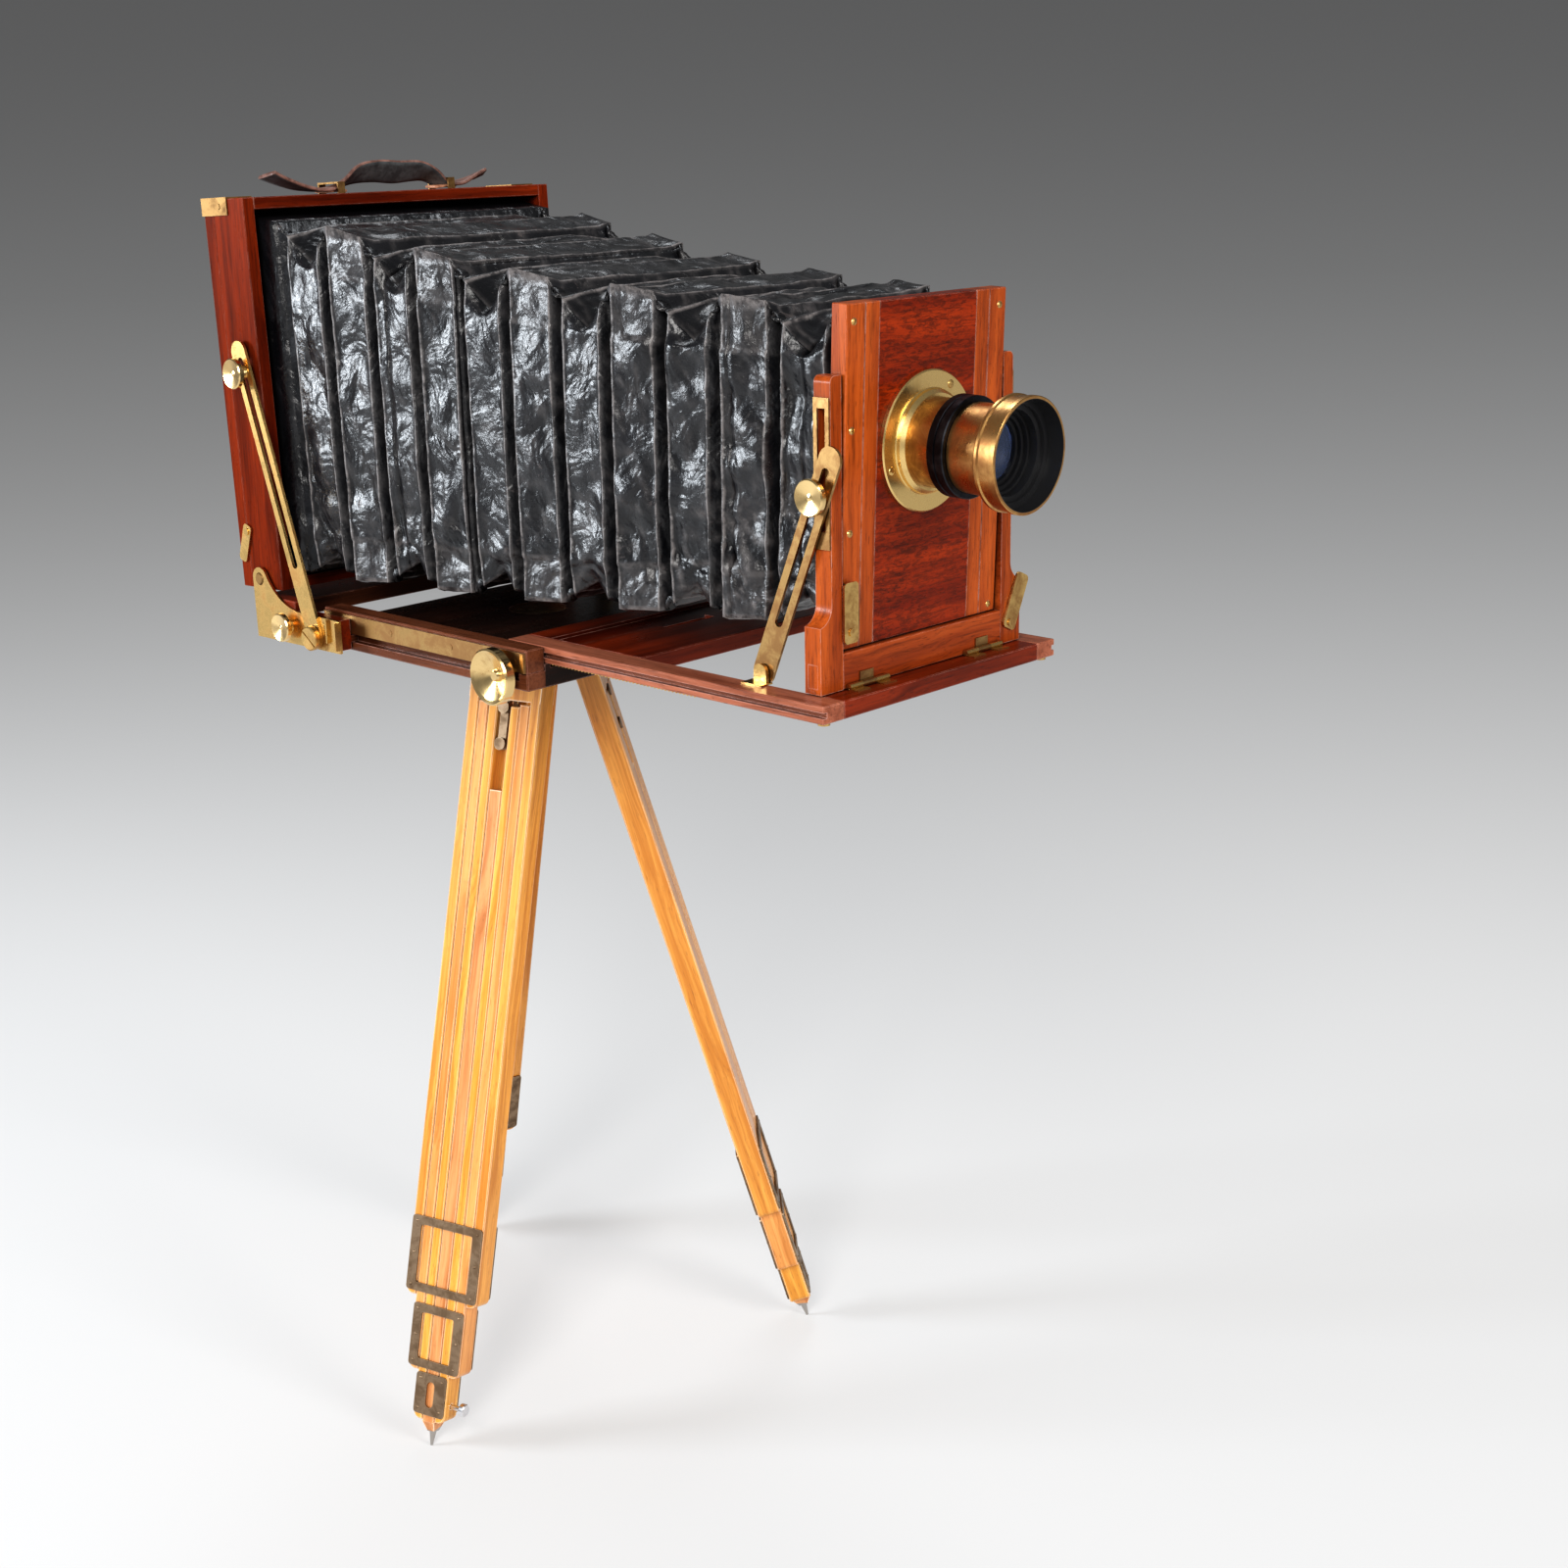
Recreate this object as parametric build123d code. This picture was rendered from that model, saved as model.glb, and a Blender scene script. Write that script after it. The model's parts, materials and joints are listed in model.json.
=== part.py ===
"""A folding view camera of mahogany and brass on its four-fold ash tripod.

All lengths are millimetres. +Z is up, the lens looks along -Y, and "right" is the -X side, as seen by
someone standing behind the camera. The origin is on the floor, on the pan axis of the tripod head.
The camera itself is drawn in the bed's frame, whose Z = 0 is the top of the bed, and then lifted.
"""
import os
from math import atan2, cos, degrees, pi, radians, sin

from build123d import *

os.makedirs("parts", exist_ok=True)

# ---- heights and bed ----------------------------------------------------------------------------
BED_TOP = 585.0            # top of the bed above the floor
BED_HALF = 125.4           # half width of the bed
BED_FRONT = -133.0
BED_REAR = 81.0
BED_BOTTOM = -27.0
FLOOR_TOP = -11.4          # sunk floor that the track slides over
RAIL_BOTTOM = -15.5
RAIL_INNER = 110.4         # inner face of the bed's side rails
GROOVE = (-21.0, -15.5)    # side groove that carries the rear carriage
GROOVE_DEPTH = 5.0
BUSH_R = 20.5              # turntable bush let into the bed's floor
SPIGOT_R = 8.0

# ---- track, rack and pinion ---------------------------------------------------------------------
TRACK_HALF = 110.0
TRACK_FRONT = -371.0
TRACK_REAR = -97.0
TRACK_THICK = 10.8
TRACK_RAIL = 18.0          # width of each side rail
FRONT_RAIL = 28.0
REAR_RAIL = 106.0
RACK_X = (97.0, 105.0)
RACK_FRONT = -268.0
RACK_REAR = -98.0
TOOTH_MODULE = 1.0
PINION_TEETH = 12
PINION_Y = -110.0
SHAFT_R = 3.0
RUN = 0.05                 # radial running clearance of every shaft

# ---- front standard, panel and lens -------------------------------------------------------------
STD_FRONT = -355.0         # front face of the standard
STD_DEPTH = 12.3
STD_BASE = 0.6
FOOT_OUTER = 94.0
POST_OUTER = 84.0
POST_INNER = 74.6
FOOT_TOP = 40.0
POST_TOP = 182.0
RAIL_TOP = 22.0
BOLT_Z = 115.0             # clamp bolt of the front struts
PANEL_HALF = 72.4
PANEL_Z = (22.8, 221.0)
PANEL_THICK = 11.6
PANEL_LEAN = 2.0           # the panel leans this much forward between its posts
LENS_Z = 137.1
FLANGE_R = 41.9
BARREL_R = 26.5
HOOD_R = 34.0
HOOD_FRONT = 75.8          # hood rim, ahead of the panel
HOOD_REAR = 61.0
STRUT_W = 16.0
STRUT_T = 2.0

# ---- rear standard and its carriage -------------------------------------------------------------
REAR_HALF = 136.5
REAR_H = 268.3
REAR_FRONT = 113.6         # front face of the rear frame at its foot
REAR_BASE = 8.6
REAR_TILT = 2.5            # leans back
FRAME_DEPTH = 36.0
BACK_DEPTH = 11.3
WALL = 9.2
PLATE_SIZE = (216.0, 165.0)
PIVOT = (22.6, 7.3)        # pivot screw in the frame's own depth and height
BRACKET_X = (137.6, 139.6)
STRUT_PIVOT = (72.5, -18.0)
REAR_BOLT = (132.6, 160.0)
CARRIAGE_BOLT = (104.0, -14.5)

# ---- tripod -------------------------------------------------------------------------------------
HEAD_TOP = BED_BOTTOM - 0.3
HINGE_R = 33.0             # leg hinge from the pan axis
HINGE_Z = -49.0
SPLAY = 15.9
LEG_TURNS = {"leg_a": 105.55, "leg_b": 225.55, "leg_c": 345.55}
LEG_THICK = 17.0
SECTION_X = ((21.7, 30.0), (13.25, 21.45), (5.4, 13.0), (0.0, 5.15))
SECTION_END = (451.0, 503.4, 537.7, 546.5)
SECTION_START = (-8.5, 24.0, 26.0, 86.0)
PLATE_START = (394.0, 455.6, 503.9)
PLATE_T = 1.2
STRIP_EASE = 0.7           # small chamfer on the edges of every ash strip
TIP_R = 0.9

NODES = {}


def save(name, *shapes):
    """Keep a named node, one or more solids, lifted from the bed's frame to the floor frame."""
    NODES[name] = [Pos(0, 0, BED_TOP) * solid for shape in shapes for solid in shape.solids()]


def block(x, y, z, ease=0.0):
    """A box between pairs of coordinates, its edges eased by a small chamfer."""
    solid = Pos(sum(x) / 2, sum(y) / 2, sum(z) / 2) * Box(x[1] - x[0], y[1] - y[0], z[1] - z[0])
    return chamfer(solid.edges(), ease) if ease else solid


def both(shape):
    """The piece and its mirror image on the other side of the camera."""
    return shape + mirror(shape, Plane.YZ)


def on_side(shape, side):
    """A piece drawn on the +X side, put on the named side."""
    return shape if side == "left" else mirror(shape, Plane.YZ)


def turned(profile, at, along):
    """A lathe piece: (distance, radius) points turned about an axis from `at` towards `along`."""
    face = make_face(Polyline(*[(r, 0, d) for d, r in profile], close=True))
    return Plane(origin=at, z_dir=along).location * revolve(face, Axis.Z)


def rod(radius, at, along, length):
    return Plane(origin=at, z_dir=along).location * Cylinder(
        radius, length, align=(Align.CENTER, Align.CENTER, Align.MIN))


def side_plate(points, x):
    """A flat plate standing fore and aft, outlined by (y, z) points, between two X values."""
    face = make_face(Polyline(*points, close=True))
    return extrude(Plane.YZ.offset(x[0]) * face, x[1] - x[0])


def screw_head(at, along, radius=2.2, height=0.7):
    """A low countersunk screw head with its driver slot."""
    head = turned([(-2.0, 0), (-2.0, radius * 0.5), (0, radius), (height * 0.5, radius * 0.9),
                   (height, radius * 0.4), (height, 0)], at, along)
    slot = Plane(origin=at, z_dir=along).location * Pos(0, 0, height) * Box(
        2 * radius, radius * 0.25, height)
    return head - slot


def slotted_bar(pivot, through, length, slot, x, hole_r):
    """A brass stay: rounded bar with a pivot hole at one end and a long slot, in the YZ plane."""
    angle = degrees(atan2(through[1] - pivot[1], through[0] - pivot[0]))
    outline = Pos(length / 2, 0) * SlotCenterToCenter(length, STRUT_W)
    hollow = Pos((slot[0] + slot[1]) / 2, 0) * SlotCenterToCenter(slot[1] - slot[0], 6.0)
    sketch = outline - hollow - Circle(hole_r)
    placed = Plane.YZ.offset(x[0]) * Pos(*pivot) * Rot(0, 0, angle) * sketch
    return extrude(placed, x[1] - x[0])


def clamp_knob(at, radius, reach, bolt_r, bolt_in):
    """A dished brass knob on a shank; `at` is where the shank leaves the stay, pointing +X."""
    profile = [(-bolt_in, 0), (-bolt_in, bolt_r), (0.1, bolt_r), (0.1, radius * 0.5),
               (reach - 5.0, radius * 0.42), (reach - 4.4, radius * 0.92), (reach - 3.6, radius),
               (reach - 0.8, radius), (reach, radius * 0.93), (reach - 1.6, radius * 0.2),
               (reach - 1.2, 0)]
    return turned(profile, at, (1, 0, 0))


# ================================================================== tripod head (the fixed root)
def hinge_place(turn):
    """Where a leg hinges: its X runs along the hinge pin, its Y outwards."""
    return Pos(0, 0, HINGE_Z) * Rot(0, 0, turn) * Pos(0, HINGE_R, 0)


def make_tripod_head():
    disc = turned([(0, 0), (0, 48), (-1, 49), (-3.2, 49), (-4.2, 48), (-4.2, 14), (-14, 12), (-14, 0)],
                  (0, 0, HEAD_TOP), (0, 0, 1))
    head = disc + rod(SPIGOT_R, (0, 0, HEAD_TOP), (0, 0, 1), 12.5)
    for turn in LEG_TURNS.values():
        web = block((-4.5, 4.5), (-14, 7), (0, HEAD_TOP - 4.2 - HINGE_Z))
        ear = web + rod(7.0, (-4.5, 0, 0), (1, 0, 0), 9.0)
        ear -= rod(2.5 + RUN, (-5, 0, 0), (1, 0, 0), 10)
        head += hinge_place(turn) * ear
    save("tripod_head", head)


# ================================================================== tripod legs
def section_thick(level):
    return LEG_THICK - 0.4 * level


def strip_of(level, start, end):
    """One ash strip of a section, its lower outer corner rounded and its long edges eased."""
    half = section_thick(level) / 2
    strip = block(SECTION_X[level], (-half, half), (-end, -start))
    corner = strip.edges().filter_by(Axis.Y).sort_by(Axis.Z)[:2].sort_by(Axis.X)[-1]
    strip = fillet(corner, 5.0)
    return chamfer(strip.faces().filter_by(Axis.Y).edges(), STRIP_EASE)


def plate_frame(level, front):
    """The pierced iron plate that ties a section's strips together, with its screws."""
    half_x = SECTION_X[level][1] - 0.2
    start = PLATE_START[level]
    end = SECTION_END[level] - (3.2, 2.6, 4.2)[level]
    border = (7.6, 7.4, 7.2)[level]
    outer = RectangleRounded(2 * half_x, end - start, 2.5)
    if level < 2:
        window = RectangleRounded(2 * (half_x - border), end - start - 12.0, 1.8)
    else:
        window = Rot(0, 0, 90) * SlotOverall(end - start - 11.0, 6.6)
    middle = -(start + end) / 2
    surface = section_thick(level) / 2
    flat = Plane(origin=(0, surface, middle), x_dir=(1, 0, 0), z_dir=(0, 1, 0))
    plate = extrude(flat * (outer - window), PLATE_T)
    rows = (-1, 0, 1) if level < 2 else (-1, 1)
    for row in rows:
        for sign in (-1, 1):
            at = (sign * (half_x - border / 2), surface + PLATE_T,
                  middle + row * ((end - start) / 2 - 4.0))
            plate += Plane(origin=at, z_dir=(0, 1, 0)).location * Sphere(
                1.25, arc_size1=0, arc_size2=90)
    return plate if front else mirror(plate, Plane.XZ)


def make_leg(name, turn):
    place = hinge_place(turn) * Rot(SPLAY, 0, 0)

    def keep(part, *shapes):
        save(f"{name}_{part}", *[place * shape for shape in shapes])

    # outer section: two strips tied at the top by a block that carries the hinge pin
    pin = rod(2.5, (-29.0, 0, 0), (1, 0, 0), 58.0)
    half = LEG_THICK / 2
    top = rod(half, (-30, 0, 0), (1, 0, 0), 60) + block((-30, 30), (-half, half), (-22, 0))
    top -= block((-5.0, 5.0), (-half - 1, half + 1), (-10.5, half + 1))
    outer = top + both(strip_of(0, 20.5, SECTION_END[0])) - pin
    keep("outer_section", outer)
    stay = block((-3.2, 3.2), (2.6, 6.6), (-53.0, -22.0))
    stay += rod(4.4, (0, 2.6, -27.0), (0, 1, 0), 6.6) + rod(4.4, (0, 2.6, -53.0), (0, 1, 0), 6.6)
    iron = plate_frame(0, True) + plate_frame(0, False)
    keep("outer_irons", iron, stay, pin)
    for level, part in ((1, "second"), (2, "third")):
        shape = both(strip_of(level, SECTION_START[level], SECTION_END[level]))
        iron = plate_frame(level, True) + plate_frame(level, False)
        if level == 2:
            depth = SECTION_X[2][1]
            screw = turned([(-7.6, 0), (-7.6, 1.8), (9.0, 1.8), (9.0, 4.6), (12.2, 4.6), (12.8, 4.0),
                            (12.8, 0)], (-depth, 0, -526.0), (-1, 0, 0))
            shape -= rod(1.8 + RUN, (-depth + 7.7, 0, -526.0), (-1, 0, 0), 20)
        keep(f"{part}_section", shape)
        keep(f"{part}_irons", iron, *([screw] if level == 2 else []))
    # centre strip with its tapered foot and steel spike
    reach = (BED_TOP + HINGE_Z - TIP_R * sin(radians(SPLAY))) / cos(radians(SPLAY))
    half = section_thick(3) / 2
    width = SECTION_X[3][1]
    foot = block((-width, width), (-half, half), (-SECTION_END[3] + 8.0, -SECTION_START[3]))
    foot = chamfer(foot.edges().filter_by(Axis.Z), STRIP_EASE)
    taper = loft([Plane.XY.offset(-SECTION_END[3]) * Rectangle(5.6, 6.4),
                  Plane.XY.offset(-SECTION_END[3] + 8.0) * Rectangle(2 * width, 2 * half)])
    spike = turned([(-SECTION_END[3], 0), (-SECTION_END[3], 2.6), (-reach, TIP_R), (-reach, 0)],
                   (0, 0, 0), (0, 0, 1))
    keep("foot_section", foot + taper, spike)


# ================================================================== bed
def make_bed():
    base = block((-BED_HALF, BED_HALF), (BED_FRONT, BED_REAR), (BED_BOTTOM, RAIL_BOTTOM), 0.8)
    base += block((-RAIL_INNER + 0.1, RAIL_INNER - 0.1), (BED_FRONT, BED_REAR), (-16.5, FLOOR_TOP))
    groove_x = (BED_HALF - GROOVE_DEPTH, BED_HALF + 1)
    base -= both(block(groove_x, (BED_FRONT + 8, BED_REAR + 1), GROOVE))
    axis_z = pinion_z()
    channel = block((RACK_X[0] - 0.8, RACK_X[1] + 0.8), (BED_FRONT - 1, BED_REAR - 18), (-14.4, -10))
    well = rod(8.2, (RACK_X[0] - 0.8, PINION_Y, axis_z), (1, 0, 0), RACK_X[1] - RACK_X[0] + 1.6)
    base -= both(channel + well)
    base -= rod(BUSH_R, (0, 0, -15.0), (0, 0, 1), 10)
    base -= rod(14.0, (0, 0, -28.0), (0, 0, 1), 20)
    rail = block((RAIL_INNER, BED_HALF), (BED_FRONT, BED_REAR), (RAIL_BOTTOM, 0), 0.7)
    rail += block((RAIL_INNER - 2.6, RAIL_INNER + 1), (BED_FRONT + 1, BED_REAR - 1), (-6.8, -4.2))
    bore = rod(SHAFT_R + RUN, (-130, PINION_Y, axis_z), (1, 0, 0), 260)
    save("bed_boards", base + both(rail) - bore)

    strip = block((BED_HALF, BED_HALF + 1.2), (BED_FRONT + 1, BED_REAR - 1), (-14.8, -2.0))
    strip += block((BED_HALF + 1.0, BED_HALF + 2.2), (BED_FRONT + 1, BED_FRONT + 4), (-14.8, -2.0))
    for y in (-122, -58, 6, 70):
        strip += Pos(BED_HALF + 1.2, y, -8.4) * Rot(0, 90, 0) * Cylinder(2.1, 0.5)
    save("bed_side_strips", both(strip))

    bush = turned([(0.0, 0), (-0.1, BUSH_R - 0.6), (-0.8, BUSH_R), (-3.4, BUSH_R), (-3.5, 14.0),
                   (-15.4, 13.9), (-15.4, SPIGOT_R + RUN), (-3.0, SPIGOT_R + RUN), (-3.0, 0)],
                  (0, 0, FLOOR_TOP - 0.1), (0, 0, 1))
    save("turntable_bush", bush)


# ================================================================== track, rack and pinion
def pinion_z():
    """Pinion axis: its pitch circle rolls on the racks' pitch line under the track."""
    return -TRACK_THICK - 1.5 - TOOTH_MODULE * PINION_TEETH / 2


def make_rack():
    pitch = pi * TOOTH_MODULE
    top, line, tip = -TRACK_THICK, -TRACK_THICK - 0.6, -TRACK_THICK - 2.2
    count = int((RACK_REAR - RACK_FRONT - 4) / pitch)
    # a gap of the rack stands exactly over the pinion's axis
    first = PINION_Y + pitch / 2 + pitch * int((RACK_REAR - 2 - PINION_Y - pitch / 2) / pitch)
    points = [(RACK_REAR, top), (RACK_REAR, line)]
    for k in range(count):
        y = first - k * pitch
        points += [(y + 0.75, line), (y + 0.3, tip), (y - 0.3, tip), (y - 0.75, line)]
    points += [(RACK_FRONT, line), (RACK_FRONT, top)]
    return side_plate(points, RACK_X)


def make_pinion():
    """Shaft right across the bed with two pinions, a tooth of each standing up in a rack gap."""
    root_r, tip_r = PINION_TEETH * TOOTH_MODULE / 2 - 0.9, PINION_TEETH * TOOTH_MODULE / 2 + 0.7
    points = []
    for k in range(PINION_TEETH):
        middle = pi / 2 + 2 * pi * k / PINION_TEETH
        for radius, half in ((root_r, -0.95), (tip_r, -0.3), (tip_r, 0.3), (root_r, 0.95)):
            turn = middle + half / radius
            points.append((PINION_Y + radius * cos(turn), pinion_z() + radius * sin(turn)))
    shaft = rod(SHAFT_R, (-131, PINION_Y, pinion_z()), (1, 0, 0), 131 + BED_HALF - 3)
    gear = side_plate(points, RACK_X) - shaft
    knob = turned([(1.6, SHAFT_R), (1.6, 7.0), (4.6, 7.5), (5.2, 17.2), (6.4, 18.5), (12.4, 18.5),
                   (13.4, 17.4), (12.2, 15.4), (7.2, 4.0), (8.6, 3.0), (8.6, 0), (5.7, 0),
                   (5.7, SHAFT_R)],
                  (-BED_HALF, PINION_Y, pinion_z()), (-1, 0, 0))
    save("focus_spindle", shaft, both(gear), knob)


def hinge_barrel(x, radius=1.9, bore=0.0):
    axis = (STD_FRONT - 1.95, 1.95)
    barrel = rod(radius, (x[0], *axis), (1, 0, 0), x[1] - x[0])
    return barrel - rod(bore, (x[0] - 1, *axis), (1, 0, 0), x[1] - x[0] + 2) if bore else barrel


HINGE_X = (37.0, 48.6, 60.6, 72.2)      # knuckle ends of each butt hinge


def make_track():
    side = block((TRACK_HALF - TRACK_RAIL, TRACK_HALF), (TRACK_FRONT, TRACK_REAR), (-TRACK_THICK, 0), 0.6)
    side -= block((TRACK_HALF - 3.0, TRACK_HALF + 1), (TRACK_FRONT - 1, TRACK_REAR + 1), (-7.2, -3.8))
    inner = TRACK_HALF - TRACK_RAIL
    front = block((-inner, inner), (TRACK_FRONT, TRACK_FRONT + FRONT_RAIL), (-TRACK_THICK, 0), 0.6)
    rear = block((-inner, inner), (TRACK_REAR - REAR_RAIL, TRACK_REAR), (-TRACK_THICK, 0), 0.6)
    rear -= block((-inner + 1, inner - 1), (TRACK_REAR - 49, TRACK_REAR - 21), (-2.4, 1))
    rear -= block((-22, 22), (TRACK_REAR - 59, TRACK_REAR - 47), (-TRACK_THICK - 1, 1))
    save("track_frame", both(side), front, rear)

    stud = both(rod(3.6, (103, TRACK_FRONT + 6, -TRACK_THICK), (0, 0, -1), 2.0))
    outer = (hinge_barrel(HINGE_X[:2]) + hinge_barrel(HINGE_X[2:])
             + hinge_barrel((HINGE_X[0], HINGE_X[3]), 0.9))
    leaf = block(HINGE_X[:2], (STD_FRONT - 9, STD_FRONT - 2), (0, 0.8))
    leaf += block(HINGE_X[2:], (STD_FRONT - 9, STD_FRONT - 2), (0, 0.8))
    foot = block((88.9, 99), (FRONT_PIVOT[0] - 8, FRONT_PIVOT[0] + 8), (0, 1.0))
    foot += block((88.9, 91.3), (FRONT_PIVOT[0] - 5, FRONT_PIVOT[0] + 5), (0.8, FRONT_PIVOT[1]))
    foot += rod(5.0, (88.9, *FRONT_PIVOT), (1, 0, 0), 2.4)
    foot += rod(2.0, (86.0, *FRONT_PIVOT), (1, 0, 0), 4)
    save("track_fittings", both(make_rack()), both(outer + leaf), both(foot), stud)


# ================================================================== front standard
FRONT_PIVOT = (-304.0, 6.4)                      # foot of each front stay
FRONT_BOLT = (STD_FRONT + STD_DEPTH / 2, BOLT_Z)
FRONT_STAY_X = (86.0, 86.0 + STRUT_T)


def make_front_standard():
    y = (STD_FRONT, STD_FRONT + STD_DEPTH)
    with BuildSketch(Plane.XZ) as outline:
        with BuildLine():
            curve = 10.0
            Polyline((POST_INNER, STD_BASE), (FOOT_OUTER, STD_BASE), (FOOT_OUTER, FOOT_TOP))
            RadiusArc((FOOT_OUTER, FOOT_TOP), (POST_OUTER, FOOT_TOP + curve + 2), curve + 2)
            Polyline((POST_OUTER, FOOT_TOP + curve + 2), (POST_OUTER, POST_TOP - 4))
            RadiusArc((POST_OUTER, POST_TOP - 4), (POST_OUTER - 4, POST_TOP), -4)
            Polyline((POST_OUTER - 4, POST_TOP), (POST_INNER, POST_TOP), (POST_INNER, STD_BASE))
        make_face()
    post = Pos(0, y[1], 0) * extrude(outline.sketch, STD_DEPTH)
    post -= block((70, 90), (FRONT_BOLT[0] - 3, FRONT_BOLT[0] + 3), (94, 164))
    tenon = block((-FOOT_OUTER, FOOT_OUTER), (y[0] + 2.6, y[1] - 2.4), (4, 18))
    rail = block((-POST_INNER, POST_INNER), y, (STD_BASE, RAIL_TOP), 0.4) + tenon
    save("front_standard", both(post) - tenon, rail)
    plate = block((POST_OUTER, POST_OUTER + 1.2), (y[0] + 0.4, y[1] - 0.4), (84, 170))
    plate -= block((80, 90), (FRONT_BOLT[0] - 3, FRONT_BOLT[0] + 3), (94, 164))
    knuckle = hinge_barrel((HINGE_X[1] + 0.1, HINGE_X[2] - 0.1), bore=0.95)
    leaf = block((HINGE_X[1] + 0.1, HINGE_X[2] - 0.1), (STD_FRONT - 0.9, STD_FRONT), (2.6, 9.0))
    save("front_fittings", both(plate), both(knuckle + leaf))
    for side in ("right", "left"):
        bar = slotted_bar(FRONT_PIVOT, FRONT_BOLT, 140.0, (34.0, 132.0), FRONT_STAY_X, 2.0 + RUN)
        save(f"front_stay_{side}", on_side(bar, side))
        knob = clamp_knob((FRONT_STAY_X[1], *FRONT_BOLT), 10.8, 9.0, 2.2, 14.0)
        save(f"front_knob_{side}", on_side(knob, side))
    # the free turn button is swung out on its foot, the other holds the panel upright
    button = extrude(Plane.XZ * Pos(0, 14.0) * RectangleRounded(12.4, 36.0, 3.0), 1.4)
    button += extrude(Plane.XZ.offset(1.4) * Circle(2.4), 0.8)
    swung = Pos(82.5, STD_FRONT - 0.2, 13.5) * Rot(0, 25, 0) * button
    save("turn_button_left", swung)


# ================================================================== rising panel and lens
def lean():
    """From the upright panel to the panel as it leans forward about the clamp bolts."""
    return Pos(0, *FRONT_BOLT) * Rot(PANEL_LEAN, 0, 0) * Pos(0, -FRONT_BOLT[0], -FRONT_BOLT[1])


def make_panel():
    """The rising panel; returns its screws, which share a node with the lens flange's."""
    y = (STD_FRONT + 0.7, STD_FRONT + 0.7 + PANEL_THICK)
    panel = block((-PANEL_HALF, PANEL_HALF), y, PANEL_Z, 0.5)
    for x in (44.0, 56.5):
        line = block((x - 0.3, x + 0.3), (y[0] - 1, y[0] + 0.6), (PANEL_Z[0] - 1, PANEL_Z[1] + 1))
        panel -= both(line)
    board = block((-44.0, 44.0), (y[0], y[0] + 8.0), (27.0, 217.0))
    bore = rod(BARREL_R + 1.0, (0, y[0] - 5, LENS_Z), (0, 1, 0), 30)
    screws = Compound([])
    for x in (-PANEL_HALF + 6, PANEL_HALF - 6):
        for z in (27.5, 91.0, 150.0, 211.0):
            screws += screw_head((x, y[0], z), (0, -1, 0))
    save("lens_panel", lean() * (panel - board - bore - screws), lean() * (board - bore))
    boss = rod(3.0, (-69.0, STD_FRONT - 0.5, 34.0), (0, 1, 0), 3.8)
    button = Pos(-69.0, STD_FRONT - 0.5, 34.0) * extrude(
        Plane.XZ * Pos(0, 11.5) * RectangleRounded(12.4, 36.0, 3.0), 1.4)
    head = rod(2.4, (-69.0, STD_FRONT - 1.9, 34.0), (0, -1, 0), 0.8)
    save("turn_button_right", button + boss + head)
    return screws


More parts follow.
